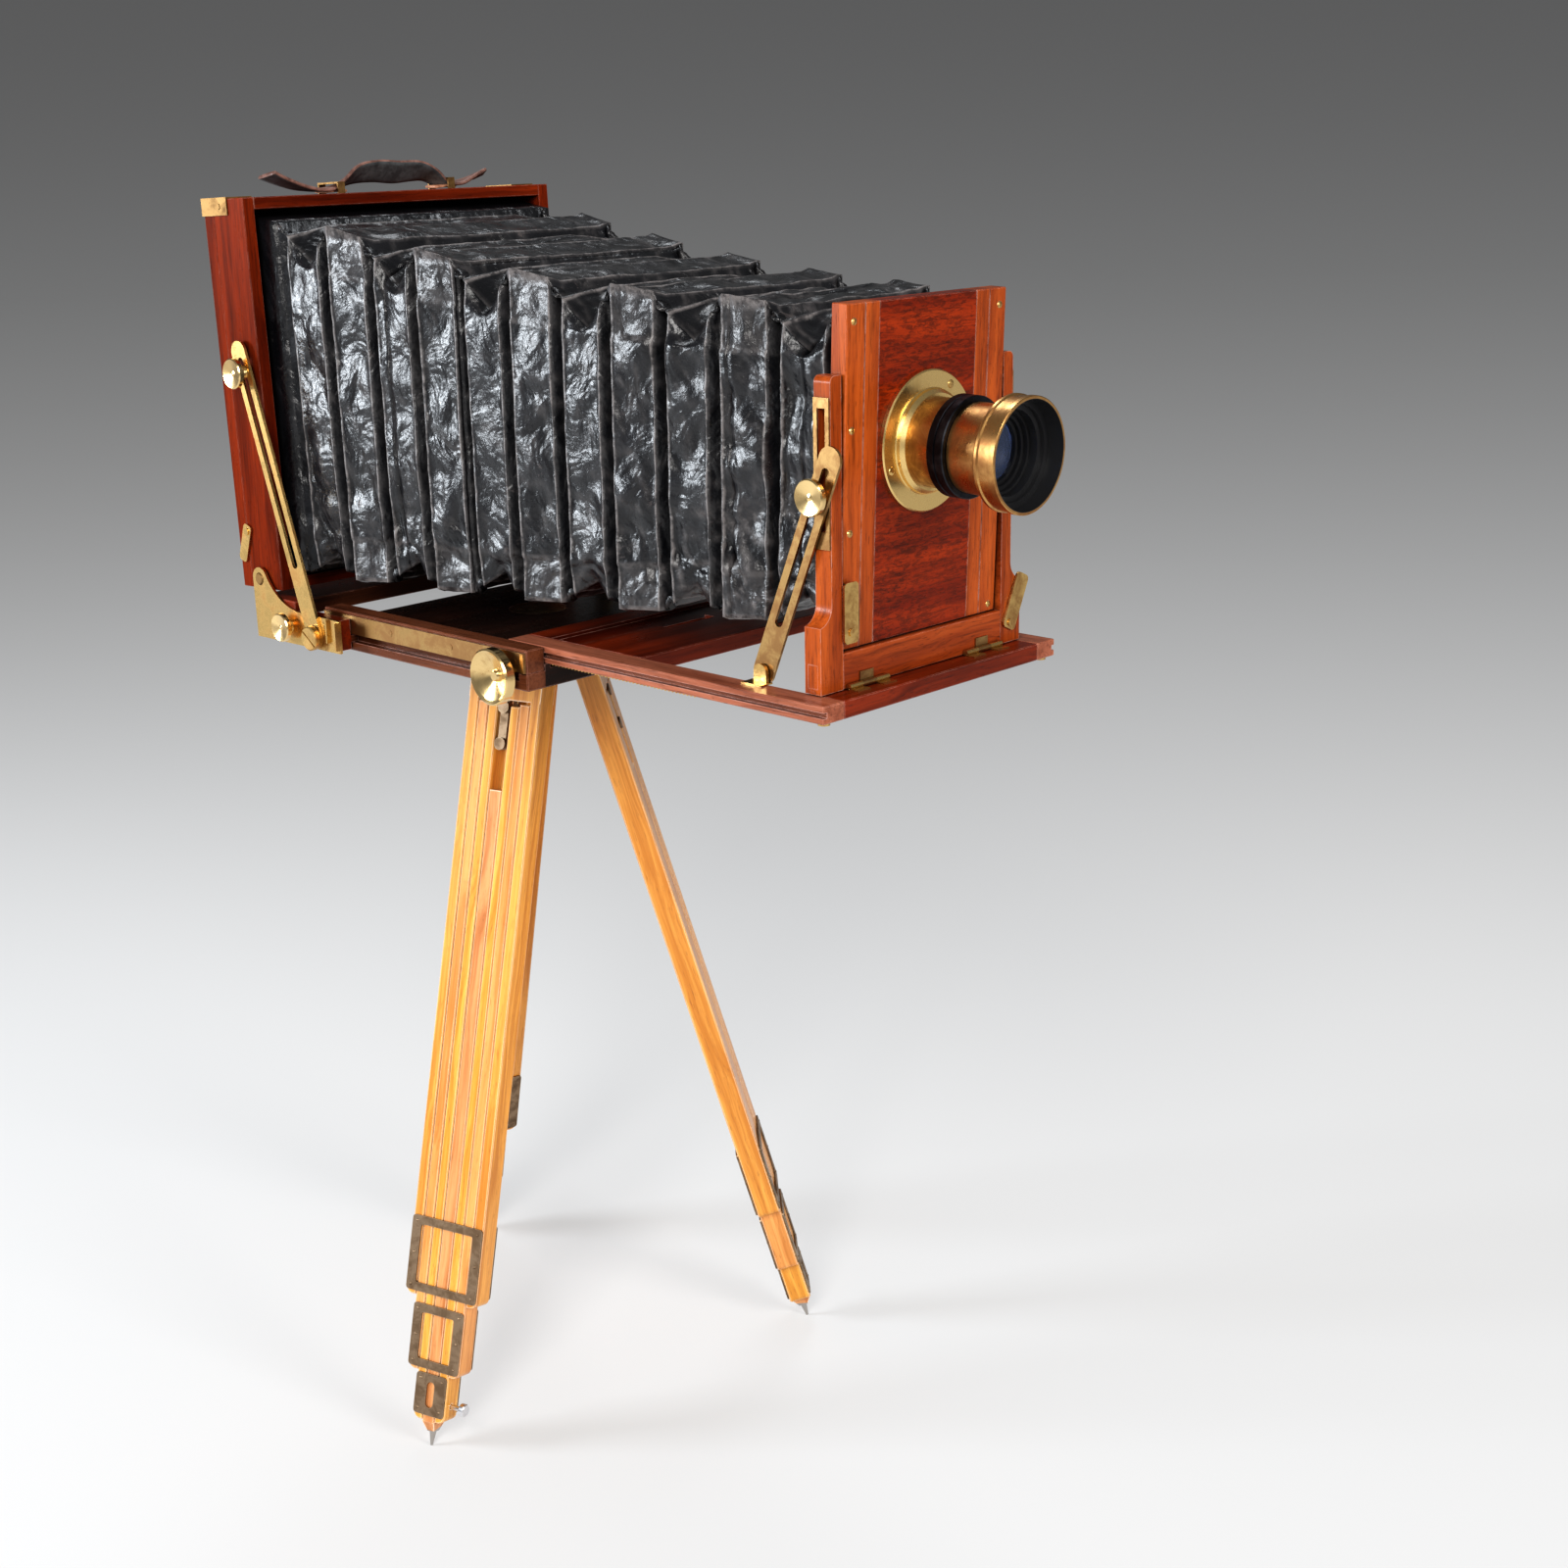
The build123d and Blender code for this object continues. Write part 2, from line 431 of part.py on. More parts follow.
def make_lens(panel_screws):
    """Drawn along +Z from the panel's front face, then turned to look forward."""
    at = lean() * Plane(origin=(0, STD_FRONT + 0.7, LENS_Z), x_dir=(1, 0, 0), z_dir=(0, -1, 0)).location

    def keep(name, *shapes):
        save(name, *[at * shape for shape in shapes])

    def ring(profile):
        return turned(profile, (0, 0, 0), (0, 0, 1))

    flange = ring([(0, BARREL_R + 1.0), (0, FLANGE_R), (2.2, FLANGE_R), (3.0, FLANGE_R - 0.8),
                   (3.0, 31.5), (3.6, 31.0), (5.6, 30.6), (8.0, 28.6), (8.0, BARREL_R),
                   (-6.0, BARREL_R), (-6.0, BARREL_R + 1.0)])
    heads = Compound([])
    for turn in (60.0, 180.0 + 22.0, 300.0 + 16.0):
        spot = (36.5 * cos(radians(turn)), 36.5 * sin(radians(turn)), 3.0)
        heads += screw_head(spot, (0, 0, 1), 2.6)
    flange -= heads
    keep("lens_flange", flange)
    save("panel_screws", lean() * panel_screws, at * heads)
    # rear barrel: cell behind the panel, waist under the iris ring, shoulder ahead of it
    cell = ring([(44.0, 18.5), (44.0, 24.8), (57.0, 24.8), (57.0, 23.0), (54.0, 23.0), (54.0, 20.8),
                 (51.6, 20.8), (51.6, 18.5)])
    keep("lens_barrel", ring([
        (-22.0, 20.0), (-22.0, 23.0), (-12.0, 23.0), (-12.0, BARREL_R), (24.0, BARREL_R), (24.0, 24.0),
        (36.4, 24.0), (36.4, 20.6), (30.0, 20.6), (30.0, 22.4), (21.5, 22.4), (21.5, 24.7), (-10.0, 24.7),
        (-10.0, 20.0)]))
    iris = ring([(24.3, 24.0 + RUN), (24.3, 29.4), (25.0, 30.0), (29.4, 30.0), (29.8, 29.2),
                 (30.2, 29.2), (30.6, 30.0), (35.4, 30.0), (36.1, 29.4), (36.1, 24.0 + RUN)])
    keep("iris_ring", iris, ring([(28.4, 11.0), (28.4, 22.3), (29.2, 22.3), (29.2, 11.0)]))
    hood = ring([
        (36.5, 20.6), (36.5, BARREL_R), (HOOD_REAR, BARREL_R), (HOOD_REAR, HOOD_R - 0.6),
        (HOOD_REAR + 0.8, HOOD_R), (HOOD_REAR + 2.4, HOOD_R), (HOOD_REAR + 3.2, HOOD_R - 0.9),
        (HOOD_FRONT - 4.0, HOOD_R - 0.9), (HOOD_FRONT - 3.2, HOOD_R), (HOOD_FRONT - 0.4, HOOD_R),
        (HOOD_FRONT, HOOD_R - 0.5), (HOOD_FRONT, 32.0), (HOOD_REAR + 4.0, 32.0), (HOOD_REAR + 4.0, 28.2),
        (HOOD_REAR + 1.4, 28.2), (HOOD_REAR + 1.4, 24.9), (42.0, 24.9), (42.0, 20.6)])
    keep("lens_hood", hood, cell)
    front = ring([(46.0, 0), (46.0, 18.4), (49.0, 18.4), (50.4, 12.4), (51.2, 6.2), (51.5, 0)])
    rear = ring([(-19.5, 0), (-18.8, 9.5), (-17.0, 19.9), (-14.0, 19.9), (-14.0, 0)])
    keep("lens_elements", front, rear)


# ================================================================== rear carriage and standard
def make_rear_carriage():
    bar = block((-BRACKET_X[0], BRACKET_X[0]), (99.0, 140.0), (-8.0, 3.0), 0.6)
    cheek = block((127.2, BRACKET_X[0]), (50.0, 140.0), (-25.5, -4.2))
    cheek += block((121.0, 127.4), (50.0, 98.8), (-20.6, -15.9))
    bar -= both(block((126.0, 140.0), (98.0, 141.0), (-9.0, -4.2)))
    cheek -= rod(2.5 + RUN, (120, *CARRIAGE_BOLT), (1, 0, 0), 30)
    save("carriage_boards", bar, both(cheek))
    lug_y, lug_z = rear_place((PIVOT[0], PIVOT[1]))
    with BuildSketch(Plane.YZ) as outline:
        with BuildLine():
            Polyline((lug_y + 8.2, lug_z), (143.6, -27.3), (46.0, -26.4), (46.0, -3.6), (86.0, -3.2))
            ThreePointArc((86.0, -3.2), (112.0, 2.4), (lug_y - 7.6, lug_z + 3.2))
            ThreePointArc((lug_y - 7.6, lug_z + 3.2), (lug_y + 0.8, lug_z + 8.2), (lug_y + 8.2, lug_z))
        make_face()
    bracket = extrude(Plane.YZ.offset(BRACKET_X[0]) * Plane.YZ.location.inverse() * outline.sketch,
                      BRACKET_X[1] - BRACKET_X[0])
    bracket += block((BRACKET_X[0], BRACKET_X[1] + 3.4), (46.0, 47.6), (-24.0, -4.4))
    bracket += block((BRACKET_X[0], BRACKET_X[1] + 2.4), (57.0, 58.6), (-20.0, -3.6))
    bracket -= rod(2.6 + RUN, (136, lug_y, lug_z), (1, 0, 0), 6)
    bracket -= rod(2.5 + RUN, (136, *CARRIAGE_BOLT), (1, 0, 0), 6)
    stud = turned([(-2.0, 0), (-2.0, 3.0), (2.2, 3.0), (2.2, 8.0), (3.4, 8.6), (6.6, 8.6), (7.4, 7.6),
                   (7.0, 0)], (BRACKET_X[1], *STRUT_PIVOT), (1, 0, 0))
    slot = Pos(BRACKET_X[1] + 7.4, *STRUT_PIVOT) * Rot(35, 0, 0) * Box(1.6, 18, 1.4)
    bracket -= rod(3.0, (136, *STRUT_PIVOT), (1, 0, 0), 6)
    save("carriage_brackets", both(bracket), both(stud - slot))
    for side in ("right", "left"):
        bar = slotted_bar(STRUT_PIVOT, REAR_BOLT, 202.0, (52.0, 195.5),
                          (BRACKET_X[1] + 0.1, BRACKET_X[1] + 0.1 + STRUT_T), 3.0 + RUN)
        save(f"rear_stay_{side}", on_side(bar, side))
        knob = clamp_knob((BRACKET_X[1] + 2.2, *REAR_BOLT), 10.4, 10.0, 2.2, 13.0)
        save(f"rear_knob_{side}", on_side(knob, side))
        low = clamp_knob((BRACKET_X[1], *CARRIAGE_BOLT), 10.0, 9.0, 2.5, 8.0)
        save(f"carriage_knob_{side}", on_side(low, side))


def rear_place(point):
    """Depth and height in the rear frame, turned into the bed's Y and Z."""
    tilt = radians(REAR_TILT)
    return (REAR_FRONT + point[0] * cos(tilt) + point[1] * sin(tilt),
            REAR_BASE + point[1] * cos(tilt) - point[0] * sin(tilt))


def make_rear_standard():
    at = Pos(0, REAR_FRONT, REAR_BASE) * Rot(-REAR_TILT, 0, 0)

    def keep(name, *shapes):
        save(name, *[at * shape for shape in shapes])

    def ring_frame(depth, wall_x, wall_z, ease=0.5):
        side = block((REAR_HALF - wall_x, REAR_HALF), depth, (0, REAR_H), ease)
        inner = REAR_HALF - wall_x
        low = block((-inner, inner), depth, (0, wall_z), ease)
        high = block((-inner, inner), depth, (REAR_H - wall_z, REAR_H), ease)
        return both(side), low + high

    sides, rails = ring_frame((0, FRAME_DEPTH), WALL, 8.0)
    bolt = rod(2.2 + RUN, (REAR_HALF - WALL - 1, *local_rear(REAR_BOLT)), (1, 0, 0), 40)
    pivot = turned([(0, 0), (0, 2.6), (3.35, 2.6), (3.35, 4.6), (4.2, 3.6), (4.2, 0)],
                   (REAR_HALF - 0.2, *PIVOT), (1, 0, 0))
    keep("rear_frame", sides - both(bolt + pivot), rails)
    back = (FRAME_DEPTH, FRAME_DEPTH + BACK_DEPTH)
    half_x, half_z = PLATE_SIZE[0] / 2 + 12.2, PLATE_SIZE[1] / 2 + 12.2
    middle = REAR_H / 2
    board = block((-REAR_HALF, REAR_HALF), back, (0, REAR_H), 0.5)
    opening = block((-half_x, half_x), (back[0] - 1, back[1] + 1), (middle - half_z, middle + half_z))
    keep("reversing_back", board - opening)
    gap = 0.3
    screen = block((-half_x + gap, half_x - gap), (back[0] + 1.2, back[1] - 0.3),
                   (middle - half_z + gap, middle + half_z - gap), 0.5)
    light = block((-PLATE_SIZE[0] / 2 + 4, PLATE_SIZE[0] / 2 - 4), (back[0] - 1, back[1] + 1),
                  (middle - PLATE_SIZE[1] / 2 + 4, middle + PLATE_SIZE[1] / 2 - 4))
    glass = block((-PLATE_SIZE[0] / 2, PLATE_SIZE[0] / 2), (back[0] + 1.2, back[0] + 3.2),
                  (middle - PLATE_SIZE[1] / 2, middle + PLATE_SIZE[1] / 2))
    keep("ground_glass", glass)
    # two butt hinges under the screen frame, half on each part
    hinge_z = middle - half_z
    knuckle_y = back[1] + 1.7
    leaf = block((60, 90), (back[1], back[1] + 0.8), (hinge_z - 9, hinge_z - 1.8))
    fixed = leaf + rod(0.8, (60, knuckle_y, hinge_z), (1, 0, 0), 30)
    for x in (60, 80.1):
        fixed += rod(1.7, (x, knuckle_y, hinge_z), (1, 0, 0), 9.9)
    tongue = block((60, 69.9), (back[1], knuckle_y), (hinge_z - 2.2, hinge_z - 0.8))
    fixed += tongue + Pos(20.1, 0, 0) * tongue
    moving = rod(1.7, (70.1, knuckle_y, hinge_z), (1, 0, 0), 9.8) - rod(
        0.85, (70, knuckle_y, hinge_z), (1, 0, 0), 10)
    flap = block((70.1, 79.9), (back[1] - 0.3, back[1] + 0.8), (hinge_z + 1.75, hinge_z + 9))
    moving += flap - rod(0.85, (70, knuckle_y, hinge_z), (1, 0, 0), 10)
    keep("screen_frame", screen - light - glass, both(moving))
    clip = block((REAR_HALF - 20, REAR_HALF + 1.0), (18, back[1] + 1.0), (REAR_H - 11, REAR_H + 1.0))
    clip -= block((0, REAR_HALF), (0, back[1]), (0, REAR_H))
    clip += rod(2.2, (REAR_HALF + 1.0, 28, REAR_H - 5), (1, 0, 0), 0.5)
    # leather strap on two brass loops, arched for the fingers
    top = REAR_H
    line = [(-98, 10), (-88, 4), (-60, 2.2), (-43, 4), (-20, 11), (5, 13), (30, 10.5), (52, 4), (72, 2.2),
            (88, 5), (94, 9)]
    upper = [(x, top + z + 1.4) for x, z in line]
    lower = [(x, top + z - 1.4) for x, z in reversed(line)]
    strap = extrude(Plane.XZ * make_face(Polyline(*upper, *lower, close=True)), 20.0)
    keep("handle_strap", Pos(0, 34.0, 0) * strap)
    loop = block((-3, 3), (12.0, 36.0), (top, top + 8.0))
    loop -= block((-4, 4), (13.2, 34.8), (top - 1, top + 6.8))
    loops = [Pos(x, 0, 0) * loop for x in (-45, 54)]
    keep("rear_fittings", both(clip), both(fixed), both(pivot), *loops)
    for side in ("right", "left"):
        catch = extrude(Plane.YZ * Pos(0, -9.0) * RectangleRounded(9.0, 28.0, 3.0), 1.4)
        catch += extrude(Plane.YZ.offset(1.4) * Circle(2.6), 0.8)
        placed = Pos(REAR_HALF + 0.2, 35.0, 40.0) * Rot(22, 0, 0) * catch
        keep(f"back_catch_{side}", on_side(placed, side))


def local_rear(point):
    """The bed's Y and Z turned into the rear frame's own depth and height."""
    tilt = radians(REAR_TILT)
    dy, dz = point[0] - REAR_FRONT, point[1] - REAR_BASE
    return (dy * cos(tilt) - dz * sin(tilt), dz * cos(tilt) + dy * sin(tilt))


# ================================================================== bellows
BELLOWS = ((4.0, 111.0, 25.0, 243.0), (-84.0, 102.0, 26.5, 230.0), (-174.0, 92.0, 30.0, 221.0),
           (-254.0, 81.0, 34.0, 217.0))
LEATHER = 1.2


def make_bellows():
    """A plain tapered leather tunnel from the rear frame to the panel: (y, half width, bottom, top)."""
    def tunnel(inset):
        def mouth(y, half, low, high):
            plane = Plane(origin=(0, y, (low + high) / 2), x_dir=(1, 0, 0), z_dir=(0, -1, 0))
            return plane * Rectangle(2 * (half - inset), high - low - 2 * inset)

        rear = Pos(0, REAR_FRONT, REAR_BASE) * Rot(-REAR_TILT, 0, 0) * mouth(
            FRAME_DEPTH - 3.0, 125.5, 9.8, REAR_H - 9.8)
        front = lean() * mouth(STD_FRONT + 0.7 + PANEL_THICK + 0.5, 66.0, 38.0, 212.0)
        return loft([rear] + [mouth(*station) for station in BELLOWS] + [front], ruled=True)

    save("bellows", tunnel(0) - tunnel(LEATHER))


make_tripod_head()
for leg, turn in LEG_TURNS.items():
    make_leg(leg, turn)
make_bed()
make_pinion()
make_track()
make_front_standard()
make_lens(make_panel())
make_rear_carriage()
make_rear_standard()
make_bellows()

for name, solids in NODES.items():
    export_step(Compound(solids), f"parts/{name}.step")
print(len(NODES), "nodes written")
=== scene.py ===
"""Looks of a mahogany and brass folding camera on its ash tripod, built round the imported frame.

Lengths are metres in the row frame: the origin is on the floor on the pan axis, the lens looks along -Y.
"""
import json
from math import atan2, cos, pi, radians, sin

import bmesh
import bpy
import numpy as np
from mathutils import Matrix, Vector, noise


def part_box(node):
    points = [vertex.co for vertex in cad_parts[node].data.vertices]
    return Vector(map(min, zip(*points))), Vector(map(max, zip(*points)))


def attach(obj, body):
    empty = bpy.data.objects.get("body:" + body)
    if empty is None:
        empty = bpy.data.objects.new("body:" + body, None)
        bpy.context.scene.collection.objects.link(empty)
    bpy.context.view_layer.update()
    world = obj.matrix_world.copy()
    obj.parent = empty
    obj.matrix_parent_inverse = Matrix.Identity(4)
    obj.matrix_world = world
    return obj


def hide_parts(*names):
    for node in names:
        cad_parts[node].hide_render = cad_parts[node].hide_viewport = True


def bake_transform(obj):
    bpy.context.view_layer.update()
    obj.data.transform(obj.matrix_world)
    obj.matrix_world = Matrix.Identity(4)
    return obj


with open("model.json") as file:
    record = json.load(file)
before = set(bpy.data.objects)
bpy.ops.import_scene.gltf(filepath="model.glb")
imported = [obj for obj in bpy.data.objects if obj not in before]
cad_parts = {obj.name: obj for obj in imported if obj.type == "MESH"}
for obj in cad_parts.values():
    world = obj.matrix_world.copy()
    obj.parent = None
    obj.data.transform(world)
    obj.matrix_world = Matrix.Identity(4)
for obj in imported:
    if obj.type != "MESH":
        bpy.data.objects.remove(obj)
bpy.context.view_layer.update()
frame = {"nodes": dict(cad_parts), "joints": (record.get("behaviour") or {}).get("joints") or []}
NODES = frame["nodes"]
JOINTS = {joint["name"]: joint for joint in frame["joints"]}

MM = 0.001
BED_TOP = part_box("bed_boards")[1][2]
LEGS = ("leg_a", "leg_b", "leg_c")
SIDES = ("right", "left")


# ---------------------------------------------------------------- shader building
class Shader:
    """A material with its principled shader and short calls for the nodes in front of it."""

    def __init__(self, name):
        self.material = bpy.data.materials.new(name)
        self.material.use_nodes = True
        self.tree = self.material.node_tree
        self.surface = self.tree.nodes["Principled BSDF"]
        self.place = self.add("ShaderNodeTexCoord").outputs["Object"]

    def add(self, kind, **settings):
        node = self.tree.nodes.new(kind)
        for key, value in settings.items():
            setattr(node, key, value)
        return node

    def put(self, socket, value):
        if isinstance(value, bpy.types.NodeSocket):
            self.tree.links.new(value, socket)
        else:
            socket.default_value = value

    def math(self, operation, first, second=0.0, third=0.0, clamp=False):
        node = self.add("ShaderNodeMath", operation=operation, use_clamp=clamp)
        for socket, value in zip(node.inputs, (first, second, third)):
            self.put(socket, value)
        return node.outputs[0]

    def mix(self, factor, first, second):
        node = self.add("ShaderNodeMix", data_type="RGBA")
        self.put(node.inputs[0], factor)
        for socket, value in ((node.inputs[6], first), (node.inputs[7], second)):
            self.put(socket, (*value, 1.0) if isinstance(value, tuple) else value)
        return node.outputs[2]

    def mix_vector(self, factor, first, second):
        node = self.add("ShaderNodeMix", data_type="VECTOR")
        self.put(node.inputs[0], factor)
        self.put(node.inputs[4], first)
        self.put(node.inputs[5], second)
        return node.outputs[1]

    def split(self, vector):
        node = self.add("ShaderNodeSeparateXYZ")
        self.put(node.inputs[0], vector)
        return node.outputs

    def join(self, x, y, z):
        node = self.add("ShaderNodeCombineXYZ")
        for socket, value in zip(node.inputs, (x, y, z)):
            self.put(socket, value)
        return node.outputs[0]

    def map(self, vector, scale=(1, 1, 1), turn=(0, 0, 0), shift=(0, 0, 0), kind="POINT"):
        node = self.add("ShaderNodeMapping", vector_type=kind)
        self.put(node.inputs["Vector"], vector)
        node.inputs["Location"].default_value = shift
        node.inputs["Rotation"].default_value = turn
        node.inputs["Scale"].default_value = scale
        return node.outputs[0]

    def noise(self, vector, scale, detail=4.0, rough=0.55, twist=0.0):
        node = self.add("ShaderNodeTexNoise")
        self.put(node.inputs["Vector"], vector)
        node.inputs["Scale"].default_value = scale
        node.inputs["Detail"].default_value = detail
        node.inputs["Roughness"].default_value = rough
        node.inputs["Distortion"].default_value = twist
        return node.outputs["Fac"]

    def cells(self, vector, scale, feature="F1"):
        node = self.add("ShaderNodeTexVoronoi", feature=feature)
        self.put(node.inputs["Vector"], vector)
        node.inputs["Scale"].default_value = scale
        return node.outputs["Distance"]

    def ramp(self, factor, low, high):
        """0 below low, 1 above high, smooth between them."""
        node = self.add("ShaderNodeMapRange", interpolation_type="SMOOTHSTEP")
        self.put(node.inputs["Value"], factor)
        node.inputs["From Min"].default_value = low
        node.inputs["From Max"].default_value = high
        return node.outputs[0]

    def span(self, factor, low, high):
        """The factor's 0 to 1 as low to high."""
        node = self.add("ShaderNodeMapRange")
        self.put(node.inputs["Value"], factor)
        node.inputs["To Min"].default_value = low
        node.inputs["To Max"].default_value = high
        return node.outputs[0]

    def edges(self, radius, low=0.02, high=0.25):
        """1 on the edges of the shape, where handling wears it and where some finishes paint a highlight."""
        soft = self.add("ShaderNodeBevel", samples=8)
        soft.inputs["Radius"].default_value = radius
        sharp = self.add("ShaderNodeNewGeometry").outputs["Normal"]
        dot = self.add("ShaderNodeVectorMath", operation="DOT_PRODUCT")
        self.tree.links.new(soft.outputs[0], dot.inputs[0])
        self.tree.links.new(sharp, dot.inputs[1])
        return self.ramp(self.math("SUBTRACT", 1.0, dot.outputs["Value"]), low, high)

    def crevices(self, distance):
        """1 in corners and gaps, where dirt and shade gather."""
        node = self.add("ShaderNodeAmbientOcclusion", samples=8)
        node.inputs["Distance"].default_value = distance
        return self.math("SUBTRACT", 1.0, node.outputs["AO"], clamp=True)

    def bump(self, height, strength, depth, under=None):
        node = self.add("ShaderNodeBump")
        node.inputs["Strength"].default_value = strength
        node.inputs["Distance"].default_value = depth
        self.put(node.inputs["Height"], height)
        if under is not None:
            self.tree.links.new(under, node.inputs["Normal"])
        return node.outputs[0]

    def finish(self, **sockets):
        for key, value in sockets.items():
            socket = self.surface.inputs[key.replace("_", " ")]
            self.put(socket, (*value, 1.0) if isinstance(value, tuple) and len(value) == 3 else value)
        return self.material


def along(shader, vector, axis):
    """The vector with the grain's axis brought to Z."""
    x, y, z = shader.split(vector)
    order = {"X": (y, z, x), "Y": (x, z, y), "Z": (x, y, z)}[axis]
    return shader.join(*order)


def mahogany(name, axis, dark, light, beyond=None, dashes=0.0, polish=0.2, wear=0.85, offset=0.0,
             shine=0.13):
    """Polished mahogany with its grain along the axis.

    beyond = (|X|, grain axis, dark, light) is the wood past that |X|; dashes is how strong the short dark
    figure is; polish is the lowest roughness; offset moves the grain so that no two boards share it.
    """
    shader = Shader(name)
    grain = along(shader, shader.place, axis)
    if beyond:
        outer = shader.math("GREATER_THAN", shader.math("ABSOLUTE", shader.split(shader.place)[0]), beyond[0])
        grain = shader.mix_vector(outer, grain, along(shader, shader.place, beyond[1]))
        dark = shader.mix(outer, dark, beyond[2])
        light = shader.mix(outer, light, beyond[3])
    moved = shader.map(grain, shift=(offset, offset * 0.7, offset * 0.3))
    waver = shader.math("MULTIPLY", shader.noise(shader.map(moved, (1, 1, 0.25)), 22.0, 3.0), 0.02)
    x, y, z = shader.split(moved)
    moved = shader.join(shader.math("ADD", x, waver), shader.math("ADD", y, waver), z)
    broad = shader.noise(shader.map(moved, (1, 1, 0.06)), 55.0, 5.0, 0.6)
    fine = shader.noise(shader.map(moved, (1, 1, 0.035)), 520.0, 3.0, 0.6)
    pores = shader.ramp(shader.noise(shader.map(moved, (1, 1, 0.05)), 1500.0, 2.0, 0.5), 0.60, 0.68)
    tone = shader.mix(shader.ramp(broad, 0.3, 0.7), dark, light)
    if dashes:
        short = shader.noise(shader.map(shader.place, (0.30, 1, 1)), 480.0, 4.0, 0.7, 0.8)
        cloud = shader.noise(shader.place, 17.0, 3.0, 0.6)
        drawn = shader.math("MULTIPLY", shader.ramp(short, 0.44, 0.60), shader.span(cloud, 0.2, 1.3))
        if beyond:
            drawn = shader.math("MULTIPLY", drawn, shader.math("SUBTRACT", 1.0, outer))
        tone = shader.mix(shader.math("MULTIPLY", drawn, dashes, clamp=True), tone, (0.035, 0.006, 0.002))
    tone = shader.mix(shader.math("MULTIPLY", shader.ramp(fine, 0.45, 0.7), 0.4), tone, (0.030, 0.006, 0.002))
    tone = shader.mix(shader.math("MULTIPLY", pores, 0.5), tone, (0.02, 0.004, 0.002))
    # painted shade and dirt: corners and gaps darkened nearly to black
    grime_and_shade = shader.ramp(shader.crevices(0.006), 0.25, 0.8)
    tone = shader.mix(shader.math("MULTIPLY", grime_and_shade, 0.75), tone, (0.010, 0.004, 0.002))
    # pale edges: partly real wear, partly a painted highlight along the edges of the boards
    patches = shader.span(shader.ramp(shader.noise(shader.place, 90.0, 4.0, 0.7), 0.34, 0.60), 0.15, 1.0)
    wear_and_highlight = shader.math("MULTIPLY", shader.math("MULTIPLY", shader.edges(0.0010, 0.015, 0.16), patches), wear)
    tone = shader.mix(wear_and_highlight, tone, (0.52, 0.27, 0.22))
    scuff = shader.ramp(shader.noise(shader.map(shader.place, (1, 1, 3)), 260.0, 4.0, 0.7), 0.68, 0.74)
    tone = shader.mix(shader.math("MULTIPLY", scuff, 0.2), tone, (0.42, 0.17, 0.10))
    smear = shader.noise(shader.place, 35.0, 5.0, 0.65)
    rough = shader.math("ADD", shader.span(smear, polish, polish + 0.2), shader.math("MULTIPLY", wear_and_highlight, 0.3))
    relief = shader.math("ADD", shader.math("MULTIPLY", fine, 0.5), shader.math("MULTIPLY", pores, -0.6))
    return shader.finish(
        Base_Color=tone, Roughness=rough, Normal=shader.bump(relief, 0.25, 0.0002),
        Coat_Weight=shine * 0.2, Coat_Roughness=0.08, Specular_IOR_Level=shine)


def ash(name, joint, low, high):
    """Golden ash between two tones, its grain running down the leg whose slide joint is given."""
    shader = Shader(name)
    turn = atan2(-JOINTS[joint]["axis"][0], JOINTS[joint]["axis"][1])
    lean = atan2(Vector(JOINTS[joint]["axis"][:2]).length, -JOINTS[joint]["axis"][2])
    grain = shader.map(shader.place, turn=(lean, 0, turn), kind="TEXTURE")
    waver = shader.math("MULTIPLY", shader.noise(shader.map(grain, (1, 1, 0.2)), 18.0, 3.0), 0.03)
    x, y, z = shader.split(grain)
    moved = shader.join(shader.math("ADD", x, waver), shader.math("ADD", y, waver), z)
    broad = shader.noise(shader.map(moved, (1, 1, 0.02)), 190.0, 4.0, 0.6)
    fine = shader.noise(shader.map(moved, (1, 1, 0.02)), 900.0, 3.0, 0.6)
    ticks = shader.ramp(shader.noise(shader.map(moved, (1, 1, 0.06)), 1300.0, 2.0), 0.62, 0.70)
    age = shader.noise(shader.map(shader.place, (1, 1, 0.4)), 14.0, 4.0, 0.6)
    tone = shader.mix(shader.ramp(broad, 0.32, 0.68), low, high)
    tone = shader.mix(shader.math("MULTIPLY", shader.ramp(fine, 0.5, 0.75), 0.4), tone, (0.42, 0.14, 0.02))
    tone = shader.mix(shader.math("MULTIPLY", ticks, 0.5), tone, (0.22, 0.07, 0.015))
    tone = shader.mix(shader.math("MULTIPLY", shader.ramp(age, 0.5, 0.75), 0.3), tone, (0.46, 0.15, 0.02))
    # painted shade and dirt: the gaps between the leg strips darkened to deep brown
    grime_and_shade = shader.ramp(shader.crevices(0.004), 0.35, 0.85)
    tone = shader.mix(shader.math("MULTIPLY", grime_and_shade, 0.85), tone, (0.07, 0.02, 0.005))
    # painted highlight: a pale, nearly white line along the edges of every leg strip, where light catches the
    # chamfers
    wear_and_highlight = shader.edges(0.0020, 0.012, 0.09)
    tone = shader.mix(shader.math("MULTIPLY", wear_and_highlight, 0.8), tone, (1.0, 0.76, 0.54))
    shine = shader.span(shader.noise(shader.place, 40.0, 4.0, 0.6), 0.24, 0.42)
    return shader, tone, shine, shader.bump(fine, 0.22, 0.0002)


def ash_wood(name, joint, low, high):
    """Ash with its thin varnish."""
    shader, tone, shine, normal = ash(name, joint, low, high)
    return shader.finish(Base_Color=tone, Roughness=shine, Normal=normal, Coat_Weight=0.2,
                         Coat_Roughness=0.15)


